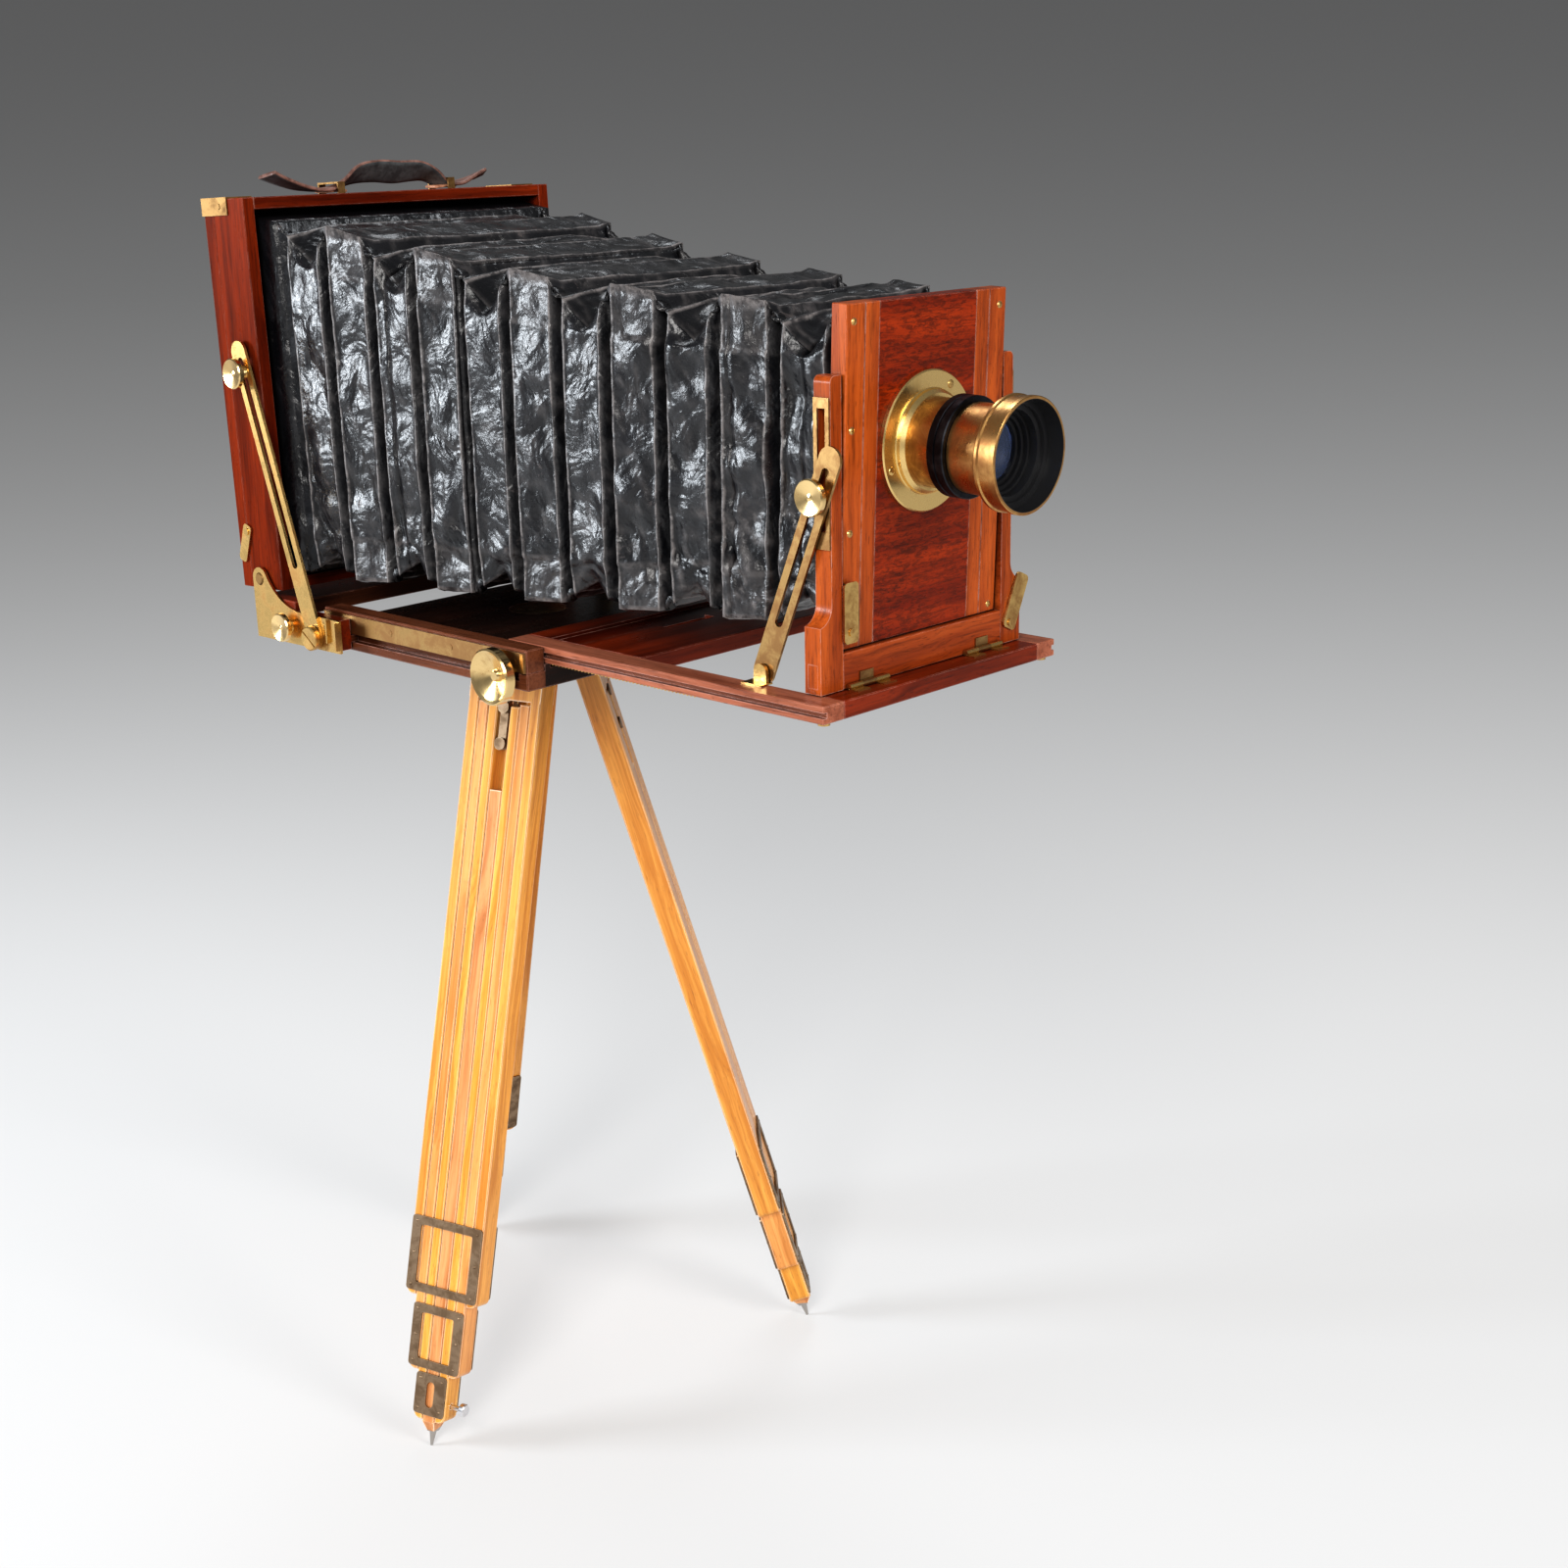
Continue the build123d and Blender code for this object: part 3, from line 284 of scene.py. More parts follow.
def metal(name, clean, aged, rough=(0.16, 0.38), age=(0.42, 0.66), amount=0.8, brushed=0.0):
    """Metal whose lacquer has gone brown in patches and crevices, and is rubbed bright on its edges.

    age is the part of the cloud pattern that is stained, and amount how strongly.
    """
    shader = Shader(name)
    cloud = shader.noise(shader.place, 75.0, 6.0, 0.68, 0.4)
    specks = shader.ramp(shader.noise(shader.place, 480.0, 3.0, 0.6), 0.66, 0.74)
    stain = shader.math("MULTIPLY", shader.ramp(cloud, *age), amount)
    grime_and_shade = shader.ramp(shader.crevices(0.003), 0.35, 0.9)
    stain = shader.math("MAXIMUM", stain, shader.math("MULTIPLY", grime_and_shade, 0.85))
    stain = shader.math("MAXIMUM", stain, shader.math("MULTIPLY", specks, 0.3))
    bright = shader.edges(0.0006, 0.03, 0.3)
    stain = shader.math("SUBTRACT", stain, shader.math("MULTIPLY", bright, 0.5), clamp=True)
    tone = shader.mix(stain, clean, aged)
    fine = shader.noise(shader.place, 2400.0, 2.0)
    shine = shader.math("ADD", shader.span(cloud, *rough), shader.math("MULTIPLY", stain, 0.16))
    return shader, tone, shine, bright, shader.bump(fine, 0.03 + brushed, 0.0001)


def plain_metal(name, *arguments, **settings):
    """The same metal all over."""
    shader, tone, shine, bright, normal = metal(name, *arguments, **settings)
    return shader.finish(Base_Color=tone, Roughness=shine, Metallic=1.0, Normal=normal)


GOLD = (0.70, 0.47, 0.18)
GOLD_AGED = (0.30, 0.15, 0.05)
BLACK = (0.012, 0.012, 0.013)


def lens_metal(name, clean, aged, age, bore, rim=None):
    """Lens brass, blackened inside.

    The inside lies closer to the axis than bore or, over rim[0] ahead of the iris, closer than rim[1].
    """
    shader, tone, shine, bright, normal = metal(name, clean, aged, age=age)
    axis, point = JOINTS["iris_turn"]["axis"], JOINTS["iris_turn"]["pos_m"]
    tilt = atan2(-axis[2], -axis[1])
    local = shader.map(shader.place, shift=tuple(point), turn=(tilt, 0, 0), kind="TEXTURE")
    x, y, z = shader.split(local)
    squares = shader.math("ADD", shader.math("MULTIPLY", x, x), shader.math("MULTIPLY", z, z))
    radius = shader.math("SQRT", squares)
    inside = shader.math("LESS_THAN", radius, bore)
    if rim:
        ahead = shader.math("LESS_THAN", y, -rim[0])
        within = shader.math("MULTIPLY", ahead, shader.math("LESS_THAN", radius, rim[1]))
        inside = shader.math("MAXIMUM", inside, within)
    tone = shader.mix(inside, tone, BLACK)
    shine = shader.math("MAXIMUM", shine, shader.math("MULTIPLY", inside, 0.36))
    return shader.finish(Base_Color=tone, Roughness=shine, Metallic=shader.math("SUBTRACT", 1.0, inside),
                         Normal=normal)


def black_leather():
    """Glossy black pebbled hide, rubbed grey-brown along the ridges that the wear attribute marks."""
    shader = Shader("black_leather")
    marked = shader.add("ShaderNodeAttribute", attribute_name="wear").outputs["Fac"]
    grain = shader.cells(shader.map(shader.place, (1, 0.8, 1)), 620.0)
    crinkle = shader.noise(shader.place, 260.0, 5.0, 0.6, 0.8)
    broad = shader.noise(shader.place, 34.0, 3.0, 0.46, 0.5)
    patchy = shader.ramp(shader.noise(shader.place, 120.0, 6.0, 0.7), 0.38, 0.58)
    rubbed = shader.math("MULTIPLY", marked, shader.span(patchy, 0.25, 1.0), clamp=True)
    bald = shader.ramp(shader.noise(shader.place, 46.0, 6.0, 0.74, 0.5), 0.63, 0.68)
    shade = shader.ramp(shader.crevices(0.016), 0.32, 0.85)
    tone = shader.mix(shader.ramp(broad, 0.35, 0.7), (0.0028, 0.0028, 0.0040), (0.0080, 0.0080, 0.0100))
    tone = shader.mix(shader.math("MULTIPLY", bald, 0.55), tone, (0.085, 0.070, 0.068))
    tone = shader.mix(shader.math("MULTIPLY", rubbed, 0.9), tone, (0.27, 0.245, 0.24))
    tone = shader.mix(shader.math("MULTIPLY", shade, 0.9), tone, (0.002, 0.002, 0.0025))
    shine = shader.span(shader.noise(shader.place, 130.0, 5.0, 0.65), 0.18, 0.40)
    shine = shader.math("ADD", shine, shader.math("MULTIPLY", rubbed, 0.25))
    shine = shader.math("ADD", shine, shader.math("MULTIPLY", shade, 0.4))
    folds = shader.bump(broad, 1.0, 0.0070)
    creases = shader.bump(crinkle, 0.45, 0.0008, folds)
    pebble = shader.bump(grain, 0.4, 0.0002, creases)
    return shader.finish(Base_Color=tone, Roughness=shine, Normal=pebble, Coat_Weight=0.04,
                         Coat_Roughness=0.12, Specular_IOR_Level=shader.span(shade, 0.52, 0.03))


def strap_leather(name, dark, light):
    """Dry old leather, paler on its edges and cracked across."""
    shader = Shader(name)
    cloud = shader.noise(shader.place, 110.0, 5.0, 0.65, 0.5)
    grain = shader.cells(shader.place, 1500.0)
    tone = shader.mix(shader.ramp(cloud, 0.35, 0.65), dark, light)
    wear_and_highlight = shader.edges(0.0010, 0.02, 0.25)
    tone = shader.mix(shader.math("MULTIPLY", wear_and_highlight, 0.65), tone, (0.50, 0.27, 0.19))
    cracks = shader.ramp(shader.noise(shader.map(shader.place, (3, 1, 1)), 300.0, 5.0, 0.7), 0.60, 0.68)
    tone = shader.mix(shader.math("MULTIPLY", cracks, 0.5), tone, (0.06, 0.03, 0.02))
    height = shader.math("ADD", shader.math("MULTIPLY", grain, 0.4), cloud)
    return shader.finish(Base_Color=tone, Roughness=shader.span(cloud, 0.42, 0.62),
                         Normal=shader.bump(height, 0.4, 0.0006), Coat_Weight=0.1, Coat_Roughness=0.35)


def glass():
    """Slightly dusty coated lens glass."""
    shader = Shader("lens_glass")
    dust = shader.ramp(shader.noise(shader.place, 900.0, 3.0, 0.6), 0.62, 0.75)
    return shader.finish(
        Base_Color=(0.90, 0.93, 0.97), Roughness=shader.span(dust, 0.02, 0.07), IOR=1.52,
        Transmission_Weight=0.92, Coat_Weight=1.0, Coat_Roughness=0.02, Coat_Tint=(0.65, 0.75, 1.0))


def ground_glass():
    """The frosted focusing screen."""
    shader = Shader("ground_glass")
    frost = shader.noise(shader.place, 2400.0, 3.0, 0.6)
    cloud = shader.noise(shader.place, 18.0, 4.0, 0.6)
    tone = shader.mix(cloud, (0.62, 0.65, 0.63), (0.78, 0.80, 0.77))
    return shader.finish(Base_Color=tone, Roughness=shader.span(cloud, 0.34, 0.46), IOR=1.5,
                         Transmission_Weight=0.55, Normal=shader.bump(frost, 0.3, 0.0001))


def iron_and_screws(name, joint, screw_from):
    """Browned iron straps; past screw_from across the leg it is the bright steel clamp screw."""
    shader, tone, shine, bright, normal = metal(name, (0.33, 0.235, 0.155), (0.13, 0.08, 0.045),
                                                rough=(0.34, 0.55), age=(0.35, 0.65), amount=0.8, brushed=0.2)
    tone = shader.mix(shader.math("MULTIPLY", bright, 0.7), tone, (0.72, 0.58, 0.40))
    turn = atan2(-JOINTS[joint]["axis"][0], JOINTS[joint]["axis"][1])
    local = shader.map(shader.place, turn=(0, 0, turn), kind="TEXTURE")
    across = shader.split(local)[0]
    steel = shader.math("LESS_THAN", across, screw_from)
    tone = shader.mix(steel, tone, (0.78, 0.78, 0.80))
    shine = shader.math("MULTIPLY", shine, shader.span(steel, 1.0, 0.55))
    return shader.finish(Base_Color=tone, Roughness=shine, Metallic=1.0, Normal=normal)


def foot_wood(name, joint, spike_top):
    """Ash that turns to a bright steel spike below spike_top, measured up from the floor."""
    shader, tone, shine, normal = ash(name, joint, (0.50, 0.17, 0.045), (0.74, 0.34, 0.13))
    z = shader.split(shader.place)[2]
    steel = shader.math("LESS_THAN", z, spike_top)
    tone = shader.mix(steel, tone, (0.46, 0.43, 0.40))
    return shader.finish(Base_Color=tone, Roughness=shine, Metallic=steel, Normal=normal)


def dress(node, material):
    """Gives a CAD node its finish."""
    target = NODES[node]
    target.data.materials.clear()
    target.data.materials.append(material)


# ---------------------------------------------------------------- finishes of the CAD parts
RED = (0.070, 0.007, 0.0015)
RED_LIGHT = (0.225, 0.026, 0.0045)
ORANGE = (0.220, 0.034, 0.005)
ORANGE_LIGHT = (0.470, 0.098, 0.015)
# painted shade: the near-black tones of the bed's and the carriage's top boards
SHADED_TOP = (0.012, 0.006, 0.004)
SHADED_TOP_LIGHT = (0.040, 0.015, 0.009)
RAW = (0.190, 0.048, 0.022)
RAW_LIGHT = (0.400, 0.140, 0.080)
CLAMP_SCREW = -0.0135             # across a leg, where the steel clamp screw leaves the third section's irons
SPIKE_TOP = 0.0122                # height of the foot's spike above the floor


def dress_camera():
    """Finishes of the camera and the tripod head."""
    dress("rear_frame", mahogany("mahogany_rear", "X", RED, RED_LIGHT, (0.1272, "Z", RED, RED_LIGHT),
                                 offset=0.3, shine=0.03))
    dress("reversing_back", mahogany("mahogany_back", "Z", RED, RED_LIGHT, offset=0.9, shine=0.03))
    dress("screen_frame", mahogany("mahogany_screen", "X", RED, RED_LIGHT, (0.104, "Z", RED, RED_LIGHT),
                                   offset=1.7))
    # the top boards of the bed and the carriage carry painted shade
    dress("bed_boards", mahogany("mahogany_bed", "X", SHADED_TOP, SHADED_TOP_LIGHT,
                                 (0.1103, "Y", (0.060, 0.016, 0.007), (0.170, 0.055, 0.024)), polish=0.16,
                                 offset=2.3))
    dress("carriage_boards", mahogany("mahogany_carriage", "X", SHADED_TOP, (0.10, 0.03, 0.012),
                                      (0.1268, "Y", RED, RED_LIGHT), offset=3.1))
    dress("track_frame", mahogany("mahogany_track", "X", RED, RED_LIGHT, (0.092, "Y", RAW, RAW_LIGHT),
                                  wear=1.0, offset=4.2))
    dress("front_standard", mahogany("mahogany_front", "X", ORANGE, (0.42, 0.085, 0.016),
                                     (0.0746, "Z", ORANGE, ORANGE_LIGHT), offset=5.5))
    dress("lens_panel", mahogany("mahogany_panel", "X", (0.140, 0.010, 0.001), (0.310, 0.032, 0.0025),
                                 (0.0440, "Z", ORANGE, ORANGE_LIGHT), dashes=0.75, offset=6.4))
    brass = plain_metal("aged_brass", GOLD, GOLD_AGED)
    bright = plain_metal("bright_brass", (0.80, 0.58, 0.28), (0.40, 0.23, 0.09),
                         rough=(0.12, 0.28), age=(0.5, 0.75))
    dull = plain_metal("dull_brass", (0.44, 0.28, 0.115), (0.20, 0.10, 0.04),
                       rough=(0.24, 0.42), age=(0.34, 0.6))
    for node in ("track_fittings", "panel_screws", "carriage_brackets"):
        dress(node, brass)
    for node in ("bed_side_strips", "front_fittings"):
        dress(node, dull)
    dress("rear_fittings", plain_metal("tarnished_brass", (0.22, 0.13, 0.05), (0.10, 0.05, 0.02),
                                       rough=(0.40, 0.55), age=(0.4, 0.7)))
    for node in ("turntable_bush", "focus_spindle"):
        dress(node, bright)
    for side in SIDES:
        for piece in ("front_stay", "rear_stay"):
            dress(f"{piece}_{side}", dull if piece == "front_stay" else brass)
        for piece in ("front_knob", "rear_knob", "carriage_knob"):
            dress(f"{piece}_{side}", bright)
        for piece in ("back_catch", "turn_button"):
            dress(f"{piece}_{side}", brass)
    dress("lens_flange", lens_metal("flange_brass", (0.80, 0.57, 0.24), (0.48, 0.30, 0.11),
                                    age=(0.52, 0.85), bore=0.0260))
    dress("lens_barrel", lens_metal("barrel_brass", (0.62, 0.37, 0.14), (0.24, 0.10, 0.03),
                                    age=(0.3, 0.62), bore=0.0229))
    dress("lens_hood", lens_metal("hood_brass", (0.60, 0.35, 0.13), (0.26, 0.11, 0.04),
                                  age=(0.35, 0.68), bore=0.0249, rim=(0.0315, 0.0322)))
    dress("iris_ring", plain_metal("black_lacquer", (0.02, 0.022, 0.028), (0.05, 0.05, 0.055),
                                   rough=(0.3, 0.45)))
    dress("lens_elements", glass())
    dress("ground_glass", ground_glass())
    dress("tripod_head", plain_metal("blackened_iron", (0.10, 0.09, 0.085), (0.03, 0.025, 0.02),
                                     rough=(0.4, 0.6)))


def dress_legs():
    """Finishes of the three legs."""
    tones = {"outer": ((0.56, 0.20, 0.020), (0.86, 0.40, 0.075)),
             "second": ((0.56, 0.20, 0.035), (0.84, 0.38, 0.11)),
             "third": ((0.62, 0.24, 0.020), (0.92, 0.46, 0.08))}
    for leg in LEGS:
        slide = f"{leg}_foot_slide"
        for part, (low, high) in tones.items():
            dress(f"{leg}_{part}_section", ash_wood(f"ash_{leg}_{part}", slide, low, high))
            screw_from = CLAMP_SCREW if part == "third" else -1.0
            dress(f"{leg}_{part}_irons", iron_and_screws(f"iron_{leg}_{part}", slide, screw_from))
        dress(f"{leg}_foot_section", foot_wood(f"ash_{leg}_foot", slide, SPIKE_TOP))


# ---------------------------------------------------------------- bellows
PITCH = 0.0402                    # width of one leather-covered card along the bellows
CARDS = 11
FRONT_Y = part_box("lens_panel")[0][1] + 0.0155
REAR_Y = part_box("bellows")[1][1] - 0.0065
LEAN_FRONT = radians(2.0)         # the panel leans forward, the rear frame back
LEAN_REAR = radians(-2.5)
# y, half width, bottom and top of the bellows above the bed, measured at the ridges
STATIONS = ((-0.345, 0.0675, 0.037, 0.2145), (-0.254, 0.081, 0.034, 0.218), (-0.174, 0.092, 0.030, 0.222),
            (-0.084, 0.102, 0.0265, 0.231), (0.004, 0.111, 0.025, 0.244), (0.098, 0.121, 0.0215, 0.259),
            (0.150, 0.1255, 0.0185, 0.2665))
CARD_STEPS = (0.0, 0.03, 0.06, 0.09, 0.115, 0.135, 0.16, 0.20, 0.27, 0.35, 0.43, 0.5, 0.57, 0.65, 0.73, 0.80,
              0.84, 0.865, 0.885, 0.91, 0.94, 0.97)
CORNER_STEPS = (0.0, 0.0025, 0.005, 0.0075, 0.010, 0.0125, 0.015, 0.0175, 0.020, 0.0225, 0.0245, 0.0265,
                0.0285, 0.032)
SIDE_STEPS = 26                   # steps between the corners of one side
VALLEY = 0.0050                   # half width of the dark valley between two cards
TAB = 0.0255                      # height of the stiff tab at each corner of every other card


def section_at(y):
    """Half width, bottom and top of the bellows there."""
    ys = [station[0] for station in STATIONS]
    return [float(np.interp(y, ys, [station[k] for station in STATIONS])) for k in (1, 2, 3)]


def hat(distance, reach):
    """1 at no distance, falling straight to 0 at the reach."""
    return max(0.0, 1.0 - distance / reach)


def smooth(value):
    """The value held between 0 and 1, with soft ends."""
    value = min(1.0, max(0.0, value))
    return value * value * (3 - 2 * value)


def side_steps(length):
    """Distances along one side of a section, closer together at its corners."""
    gap = length - 2 * CORNER_STEPS[-1]
    middle = [CORNER_STEPS[-1] + gap * k / SIDE_STEPS for k in range(1, SIDE_STEPS)]
    return list(CORNER_STEPS) + middle + [length - step for step in reversed(CORNER_STEPS[1:])]


def leather_noise(point, scale, seed):
    """Noise between -1 and 1 over the leather, its features about 1 / scale metres long."""
    return noise.noise(Vector((point[0] * scale + seed, point[1] * scale, point[2] * scale)))


def card_shape(card, u, place, near, upright, share):
    """How far the leather stands out there, and how worn it is.

    near is the distance to the nearest corner of the section, share the height up the side.
    """
    edge = min(u, 1 - u) * PITCH
    tab = card % 2 == 1
    late = smooth((card - 6) / 4.0)
    push = -(0.0080 if upright else 0.0050) * (1 - smooth(edge / VALLEY))
    push += 0.0006 * hat(abs(edge - VALLEY - 0.0004), 0.0014)
    push += (0.0024 if tab else -0.0024) * (u - 0.5)
    if not upright:
        push += 0.0022 * (1 if tab else -1) * smooth(edge / 0.008)
    wear_and_highlight = 0.85 * hat(abs(edge - VALLEY - 0.0004), 0.0010)
    if tab:
        wear_and_highlight = max(wear_and_highlight, 0.8 * hat(abs(near - TAB), 0.0014) * smooth(edge / VALLEY))
        wear_and_highlight = max(wear_and_highlight, 0.7 * hat(near, 0.0022) * smooth(edge / VALLEY))
        if upright:
            push -= 0.0010 * smooth((TAB + 0.001 - near) / 0.002) * smooth(edge / VALLEY)
            wear_and_highlight = max(wear_and_highlight, 0.12 * smooth((TAB - near) / 0.004) * smooth(edge / VALLEY))
    body = smooth((edge - VALLEY * 0.6) / 0.006) * smooth((near - 0.006) / 0.02)
    dents = leather_noise(place, 24.0, 3.1 + card) * 0.0030 + leather_noise(place, 55.0, 9.7) * 0.0019
    low_down = smooth((0.45 - share) / 0.3) if upright else 0.3
    creased = (1 - abs(leather_noise(place, 44.0, 5.5))) ** 5
    dents -= creased * 0.0030 * (0.2 + low_down)
    push += dents * body * (1.0 + 1.2 * late) * (1.0 if upright else 0.7)
    push += leather_noise(place, 140.0, 1.2) * 0.00045 * (1.0 + late)
    rumple = (1 - abs(leather_noise(place, 62.0, 8.8))) ** 14
    wear_and_highlight = max(wear_and_highlight, rumple * (0.18 + 0.5 * late * low_down))
    return push, wear_and_highlight


def bellows_ring(card, u, y):
    """One section through the bellows at a share u of a card; card is None at the two plain ends."""
    half, low, high = section_at(y)
    lean = np.interp(y, (FRONT_Y, REAR_Y), (LEAN_FRONT, LEAN_REAR))
    sides = (((-half, low), (0, 1), high - low, (-1, 0)), ((-half, high), (1, 0), 2 * half, (0, 1)),
             ((half, high), (0, -1), high - low, (1, 0)), ((half, low), (-1, 0), 2 * half, (0, -1)))
    ring = []
    for index, (start, step, length, out) in enumerate(sides):
        upright = index % 2 == 0
        for distance in side_steps(length)[:-1]:
            x = start[0] + step[0] * distance
            z = start[1] + step[1] * distance
            near = min(distance, length - distance)
            top_end = (distance > length / 2) == (index == 0) if upright else index == 1
            push, drop_x, drop_z, wear_and_highlight = 0.0, 0.0, 0.0, 0.0
            if card is not None:
                push, wear_and_highlight = card_shape(card, u, (x, y, z), near, upright, (z - low) / (high - low))
                if card % 2 == 1:
                    lift = smooth(min(u, 1 - u) * PITCH / 0.002) * hat(near, 0.012)
                    drop_z = (0.0030 if top_end else -0.0022) * lift
                else:
                    pull = (1 - abs(2 * u - 1)) * hat(near, 0.026 if upright else 0.040)
                    drop_z = -(0.0235 if top_end else -0.0125) * pull
                    drop_x = (0.0090 if x < 0 else -0.0090) * pull
                    fold = hat(near, 0.003) * (1 - abs(2 * u - 1))
                    wear_and_highlight = max(wear_and_highlight, 0.6 * fold)
            x += out[0] * push + drop_x
            z += out[1] * push + drop_z
            ring.append((x, y - (z - 0.115) * sin(lean), BED_TOP + z, wear_and_highlight))
    return ring


def bellows_rows():
    """Every section from the panel to the rear frame, as rows of points."""
    rows = [bellows_ring(None, 0, FRONT_Y - 0.0015), bellows_ring(None, 0, FRONT_Y)]
    for card in reversed(range(CARDS)):
        front = FRONT_Y + 0.002 + (CARDS - 1 - card) * PITCH
        for u in CARD_STEPS:
            rows.append(bellows_ring(card, u, front + u * PITCH))
    end = FRONT_Y + 0.002 + CARDS * PITCH
    rows += [bellows_ring(None, 0, end + share * (REAR_Y - end)) for share in (0.02, 0.25, 0.5, 0.75, 1.0)]
    return rows


def grid_mesh(name, rows, material):
    """A tube of quads through equal rows of points."""
    count = len(rows[0])
    faces = []
    for row in range(len(rows) - 1):
        for k in range(count):
            after = (k + 1) % count
            base, above = row * count, (row + 1) * count
            faces.append((base + k, above + k, above + after, base + after))
    mesh = bpy.data.meshes.new(name)
    mesh.from_pydata([point[:3] for row in rows for point in row], [], faces)
    wear = mesh.attributes.new("wear", "FLOAT", "POINT")
    wear.data.foreach_set("value", [point[3] for row in rows for point in row])
    mesh.materials.append(material)
    mesh.update()
    made = bpy.data.objects.new(name, mesh)
    bpy.context.collection.objects.link(made)
    fix = bmesh.new()
    fix.from_mesh(mesh)
    bmesh.ops.recalc_face_normals(fix, faces=fix.faces)
    fix.to_mesh(mesh)
    fix.free()
    return made


def make_bellows():
    """The pleated bellows in six pieces, cut where it passes from one moving part to the next."""
    rows = bellows_rows()
    material = black_leather()
    # where the leather passes from one moving part to the next, from the panel back to the frame
    crossings = (("lens_panel", "front_standard", -0.318), ("front_standard", "track", -0.268),
                 ("track", "bed", -0.056), ("bed", "rear_carriage", 0.008),
                 ("rear_carriage", "rear_standard", 0.108))
    first = 0
    for number, (ahead, behind, until) in enumerate(crossings):
        last = max(k for k, row in enumerate(rows) if row[0][1] <= until)
        part = rows[first:last + 1]
        piece = skin(f"bellows_{number + 1}", part, material)
        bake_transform(piece)
        first = last
    piece = skin("bellows_6", rows[first:], material)
    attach(piece, "rear_standard")


def skin(name, part, material):
    """A closed sheet of leather a millimetre thick, from its outer rows of points."""
    piece = grid_mesh(name, part, material)
    thick = piece.modifiers.new("leather", "SOLIDIFY")
    thick.thickness = 0.0011
    thick.offset = -1.0
    for face in piece.data.polygons:
        face.use_smooth = True
    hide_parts("bellows")
    return piece


# ---------------------------------------------------------------- handle strap
def strap_path(points, steps=14):
    """A smooth line through the points, as Catmull-Rom spans."""
    line = []
    padded = [points[0], *points, points[-1]]
    for a, b, c, d in zip(padded, padded[1:], padded[2:], padded[3:]):
        for k in range(steps):
            t = k / steps
            line.append(tuple(
                0.5 * ((2 * q) + (r - p) * t + (2 * p - 5 * q + 4 * r - s) * t * t
                       + (3 * q - p - 3 * r + s) * t ** 3) for p, q, r, s in zip(a, b, c, d)))
    line.append(points[-1])
    return line


def ribbon(name, path, width, thick, materials, tip=0.0):
    """A strap with rounded edges along (x, height, y, roll) points, its second material beneath.

    tip is the share of its length over which the last end narrows.
    """
    mesh = bmesh.new()
    rows = []
    count = len(path)
    outline = ((-0.5, 0.0), (-0.47, 0.42), (-0.3, 0.5), (0.0, 0.53), (0.3, 0.5), (0.47, 0.42), (0.5, 0.0),
               (0.47, -0.42), (0.3, -0.5), (0.0, -0.5), (-0.3, -0.5), (-0.47, -0.42))
    for index, (x, up, side, roll) in enumerate(path):
        ahead = path[min(index + 1, count - 1)]
        back = path[max(index - 1, 0)]
        run = Vector((ahead[0] - back[0], 0, ahead[1] - back[1])).normalized()
        share = index / (count - 1)
        narrow = 1.0 - (0.85 * smooth((share - (1 - tip)) / tip) if tip else 0.0)
        turn = Matrix.Rotation(-roll, 3, run)
        cross = turn @ Vector((0, 1, 0))
        over = turn @ Vector((-run.z, 0, run.x))
        centre = Vector((x, side, up))
        rows.append([mesh.verts.new(centre + cross * across * width * narrow + over * height * thick)
                     for across, height in outline])
    for low, high in zip(rows, rows[1:]):
        for k in range(len(low)):
            after = (k + 1) % len(low)
            face = mesh.faces.new((low[k], low[after], high[after], high[k]))
            face.material_index = 1 if 6 < k < 11 else 0
    mesh.faces.new(list(reversed(rows[0])))
    mesh.faces.new(rows[-1])
    bmesh.ops.recalc_face_normals(mesh, faces=mesh.faces)
    data = bpy.data.meshes.new(name)
    mesh.to_mesh(data)
    mesh.free()
    for face in data.polygons:
        face.use_smooth = True
    for material in materials:
        data.materials.append(material)
    made = bpy.data.objects.new(name, data)
    bpy.context.collection.objects.link(made)
    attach(made, "rear_standard")
    return made


def make_strap():
    """The handle strap with the two folds of its keepers."""
    low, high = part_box("handle_strap")
    middle = (low[1] + high[1]) / 2
    top = low[2] + 0.0002
    # x, height, y in millimetres and roll in degrees, from the right-hand end to the left
    points = ((-99, 14.0, -1, 12), (-89, 10.0, -1, 8), (-72, 4.8, 0, 4), (-57, 2.6, 0, 0),
              (-46, 3.4, 0, 4), (-36, 6.8, 0.5, 22), (-22, 12.6, 0, 44), (-6, 14.0, -1, 52),
              (12, 12.8, -1, 54), (30, 13.0, -1, 46), (43, 10.0, 0, 24), (54, 3.8, 0, 4),
              (66, 3.2, -1, 0), (78, 6.2, -1, 10), (88, 9.0, -1, 20), (93, 9.4, -1, 24))
    path = strap_path([(x * MM, top + z * MM, middle + y * MM, radians(roll)) for x, z, y, roll in points])
    brown = strap_leather("strap_brown", (0.105, 0.045, 0.032), (0.26, 0.13, 0.10))
    lining = strap_leather("strap_lining", (0.035, 0.038, 0.040), (0.085, 0.090, 0.092))
    strap = ribbon("handle_strap_leather", path, 0.0195, 0.0027, (brown, lining), 0.05)
    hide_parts("handle_strap")
    raw = strap_leather("strap_raw", (0.36, 0.15, 0.08), (0.55, 0.27, 0.16))
    for number, x in enumerate((-0.045, 0.054)):
        fold = strap_path([(x + dx * MM, top + z * MM, middle, 0.0) for dx, z in (
            (-9, 1.3), (-4, 1.5), (3, 2.0), (8, 1.4))], 5)
        ribbon(f"strap_keeper_{number + 1}", fold, 0.0150, 0.0020, (raw, raw))


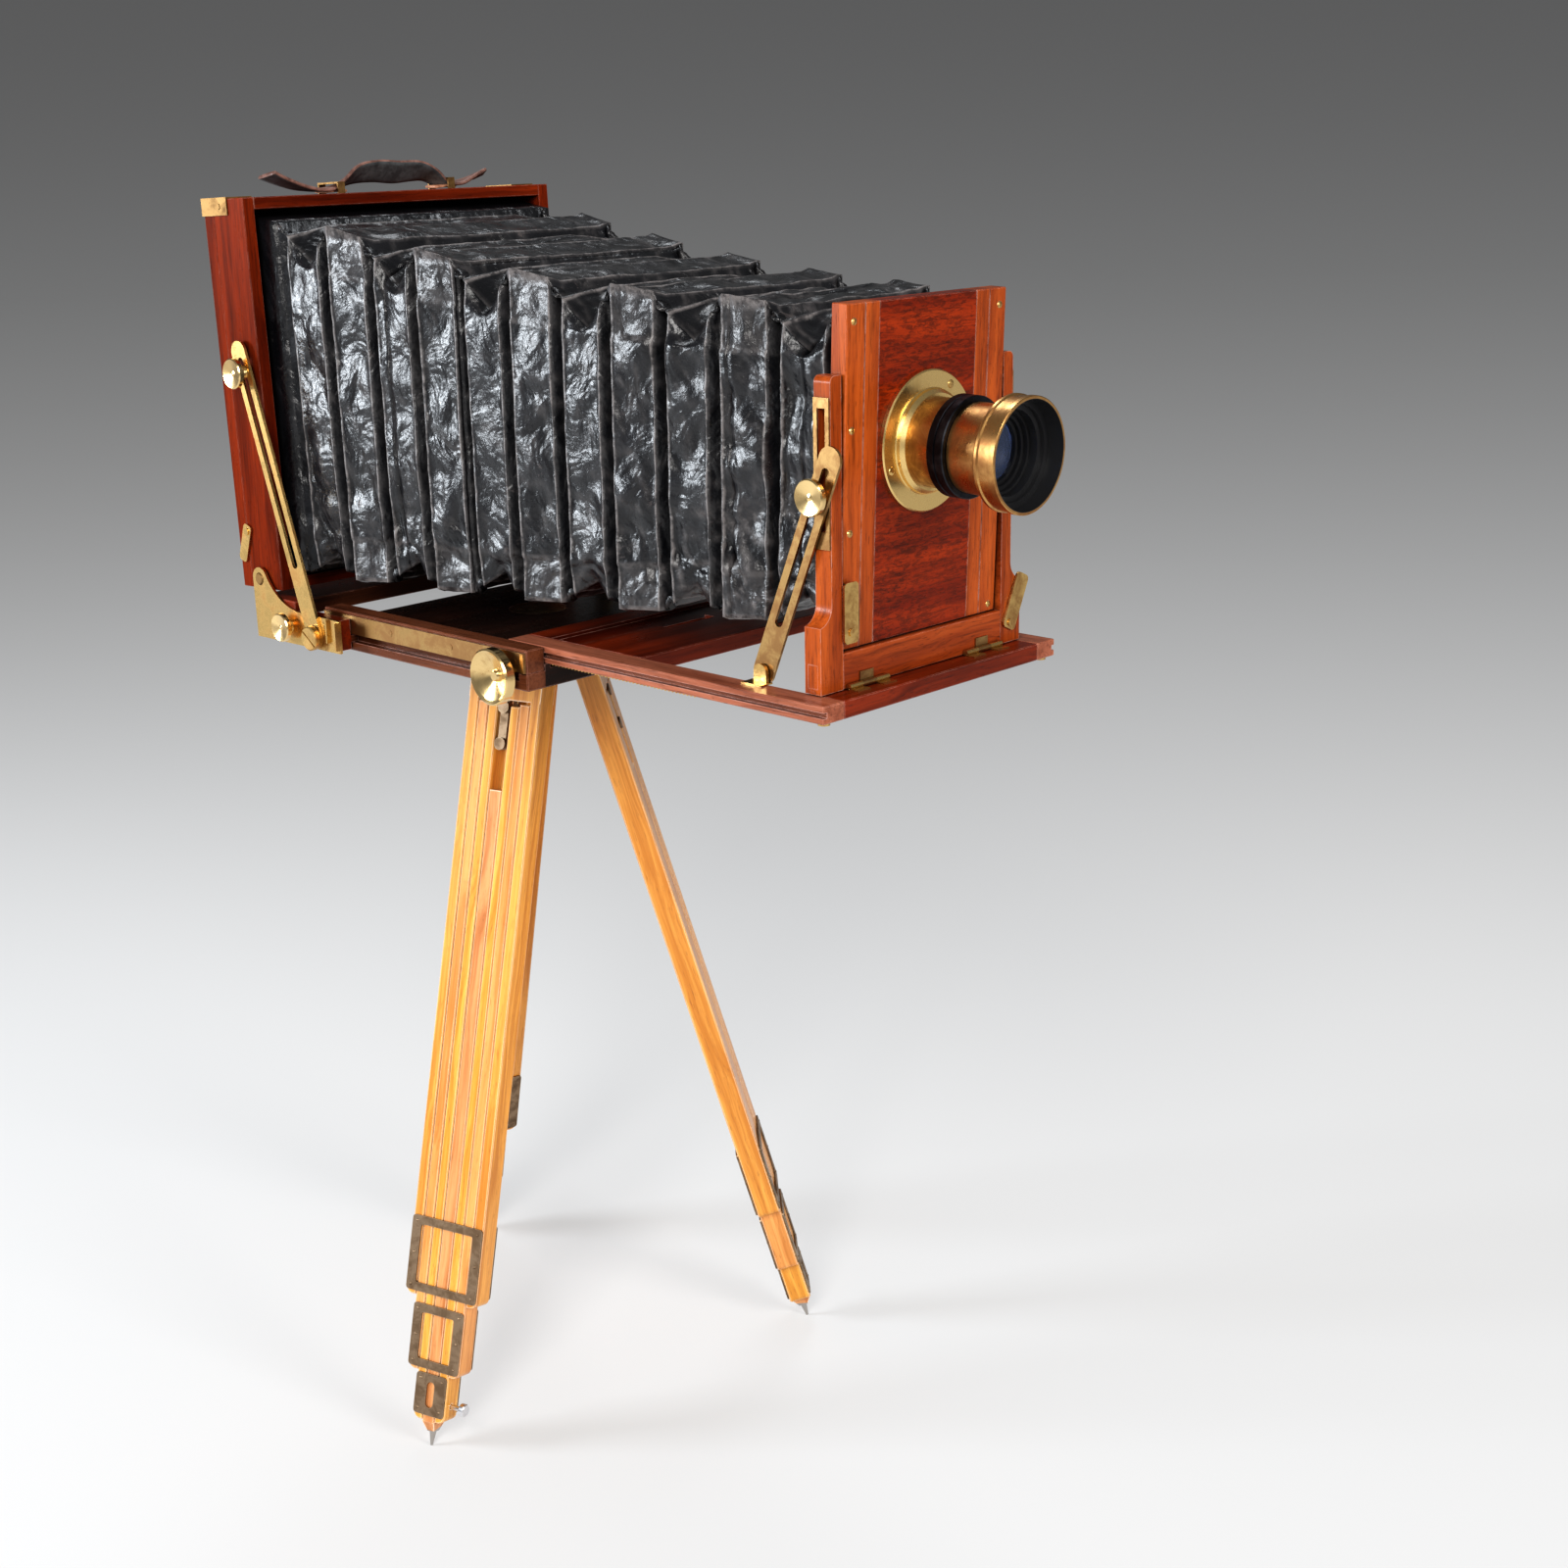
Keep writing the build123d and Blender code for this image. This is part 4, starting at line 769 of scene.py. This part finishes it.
# ---------------------------------------------------------------- stage
VIEW_TURN = radians(-45.98)       # heading of the view, from +Y towards -X
VIEW_PITCH = radians(16.07)       # downwards
VIEW_ROLL = radians(-1.20)
VIEW_PLACE = (-1.0050, -1.1723, 0.9033)
AHEAD_X, AHEAD_Y = -sin(VIEW_TURN), cos(VIEW_TURN)
WARM, COOL = (1.0, 0.98, 0.95), (0.92, 0.96, 1.0)


def area_light(name, place, aim, size, power, colour):
    """A rectangular soft light at a place, facing another."""
    data = bpy.data.lights.new(name, "AREA")
    data.shape = "RECTANGLE"
    data.size, data.size_y = size
    data.energy = power
    data.color = colour
    lamp = bpy.data.objects.new(name, data)
    lamp.location = place
    lamp.rotation_euler = (Vector(aim) - Vector(place)).to_track_quat("-Z", "Y").to_euler()
    bpy.context.collection.objects.link(lamp)


def make_stage():
    """A pale floor that sweeps up far behind the camera; it glows with painted light that grows darker with
    distance.
    """
    shader = Shader("studio_sweep")
    x, y, z = shader.split(shader.place)
    away = shader.math("ADD", shader.math("MULTIPLY", x, AHEAD_X), shader.math("MULTIPLY", y, AHEAD_Y))
    behind = -(VIEW_PLACE[0] * AHEAD_X + VIEW_PLACE[1] * AHEAD_Y)
    away = shader.math("ABSOLUTE", shader.math("ADD", away, behind))
    drop = shader.math("DIVIDE", shader.math("SUBTRACT", VIEW_PLACE[2], z), away)
    # painted light: the sweep glows with this tone, bright on the near floor and darker up the far wall
    tone = shader.mix(shader.ramp(drop, -0.08, 0.46), (0.155, 0.155, 0.155), (0.74, 0.74, 0.74))
    sheen = shader.span(shader.noise(shader.place, 3.0), 0.30, 0.34)
    material = shader.finish(Base_Color=shader.mix(0.6, tone, (0.10, 0.10, 0.10)), Roughness=0.9,
                             Specular_IOR_Level=sheen, Emission_Color=tone, Emission_Strength=0.5)
    half, near, reach, radius, wall, steps = 20.0, -16.0, 11.0, 2.5, 9.0, 14
    profile = [(near, 0.0), (reach, 0.0)]
    profile += [(reach + radius * sin(a), radius - radius * cos(a)) for a in
                (pi / 2 * k / steps for k in range(1, steps + 1))]
    profile.append((reach + radius, wall))
    turn = Matrix.Rotation(VIEW_TURN, 3, "Z")
    verts = [turn @ Vector((side * half, run, up)) for run, up in profile for side in (-1, 1)]
    faces = [(2 * k, 2 * k + 1, 2 * k + 3, 2 * k + 2) for k in range(len(profile) - 1)]
    mesh = bpy.data.meshes.new("studio_sweep")
    mesh.from_pydata([tuple(v) for v in verts], [], faces)
    for face in mesh.polygons:
        face.use_smooth = True
    mesh.materials.append(material)
    floor = bpy.data.objects.new("studio_sweep", mesh)
    bpy.context.collection.objects.link(floor)
    world = bpy.data.worlds.new("studio")
    world.use_nodes = True
    sky = world.node_tree.nodes["Background"]
    sky.inputs["Color"].default_value = (0.95, 0.97, 1.0, 1)
    sky.inputs["Strength"].default_value = 0.22
    bpy.context.scene.world = world
    area_light("key", (-2.2, -1.4, 2.0), (0, -0.1, 0.65), (0.9, 1.5), 62, WARM)
    area_light("fill", (0.2, -2.8, 1.5), (0, -0.2, 0.6), (0.9, 1.2), 40, (1.0, 0.98, 0.96))
    area_light("rim", (0.9, 1.0, 3.2), (0, -0.1, 0.8), (0.8, 0.8), 16, COOL)
    area_light("kicker", (-1.75, 1.50, 1.02), (0, -0.15, 0.72), (0.65, 0.6), 48, (0.88, 0.94, 1.0))
    bpy.context.scene.view_settings.view_transform = "Standard"
    bpy.context.scene.view_settings.look = "Medium High Contrast"


def make_camera():
    """The camera that sees the object as it was photographed."""
    level, drop = cos(VIEW_PITCH), sin(VIEW_PITCH)
    ahead = Vector((AHEAD_X * level, AHEAD_Y * level, -drop))
    right = Vector((cos(VIEW_TURN), sin(VIEW_TURN), 0))
    up = right.cross(ahead)
    across = cos(VIEW_ROLL) * right + sin(VIEW_ROLL) * up
    above = -sin(VIEW_ROLL) * right + cos(VIEW_ROLL) * up
    data = bpy.data.cameras.new("photographer")
    data.lens, data.sensor_width = 50.47, 36.0
    data.shift_x, data.shift_y = 0.0258, -0.0179
    data.clip_start, data.clip_end = 0.05, 60.0
    camera = bpy.data.objects.new("photographer", data)
    basis = Matrix((across, above, -ahead)).transposed().to_4x4()
    camera.matrix_world = Matrix.Translation(VIEW_PLACE) @ basis
    bpy.context.collection.objects.link(camera)
    bpy.context.scene.camera = camera


make_camera()
make_stage()
dress_camera()
dress_legs()
make_bellows()
make_strap()
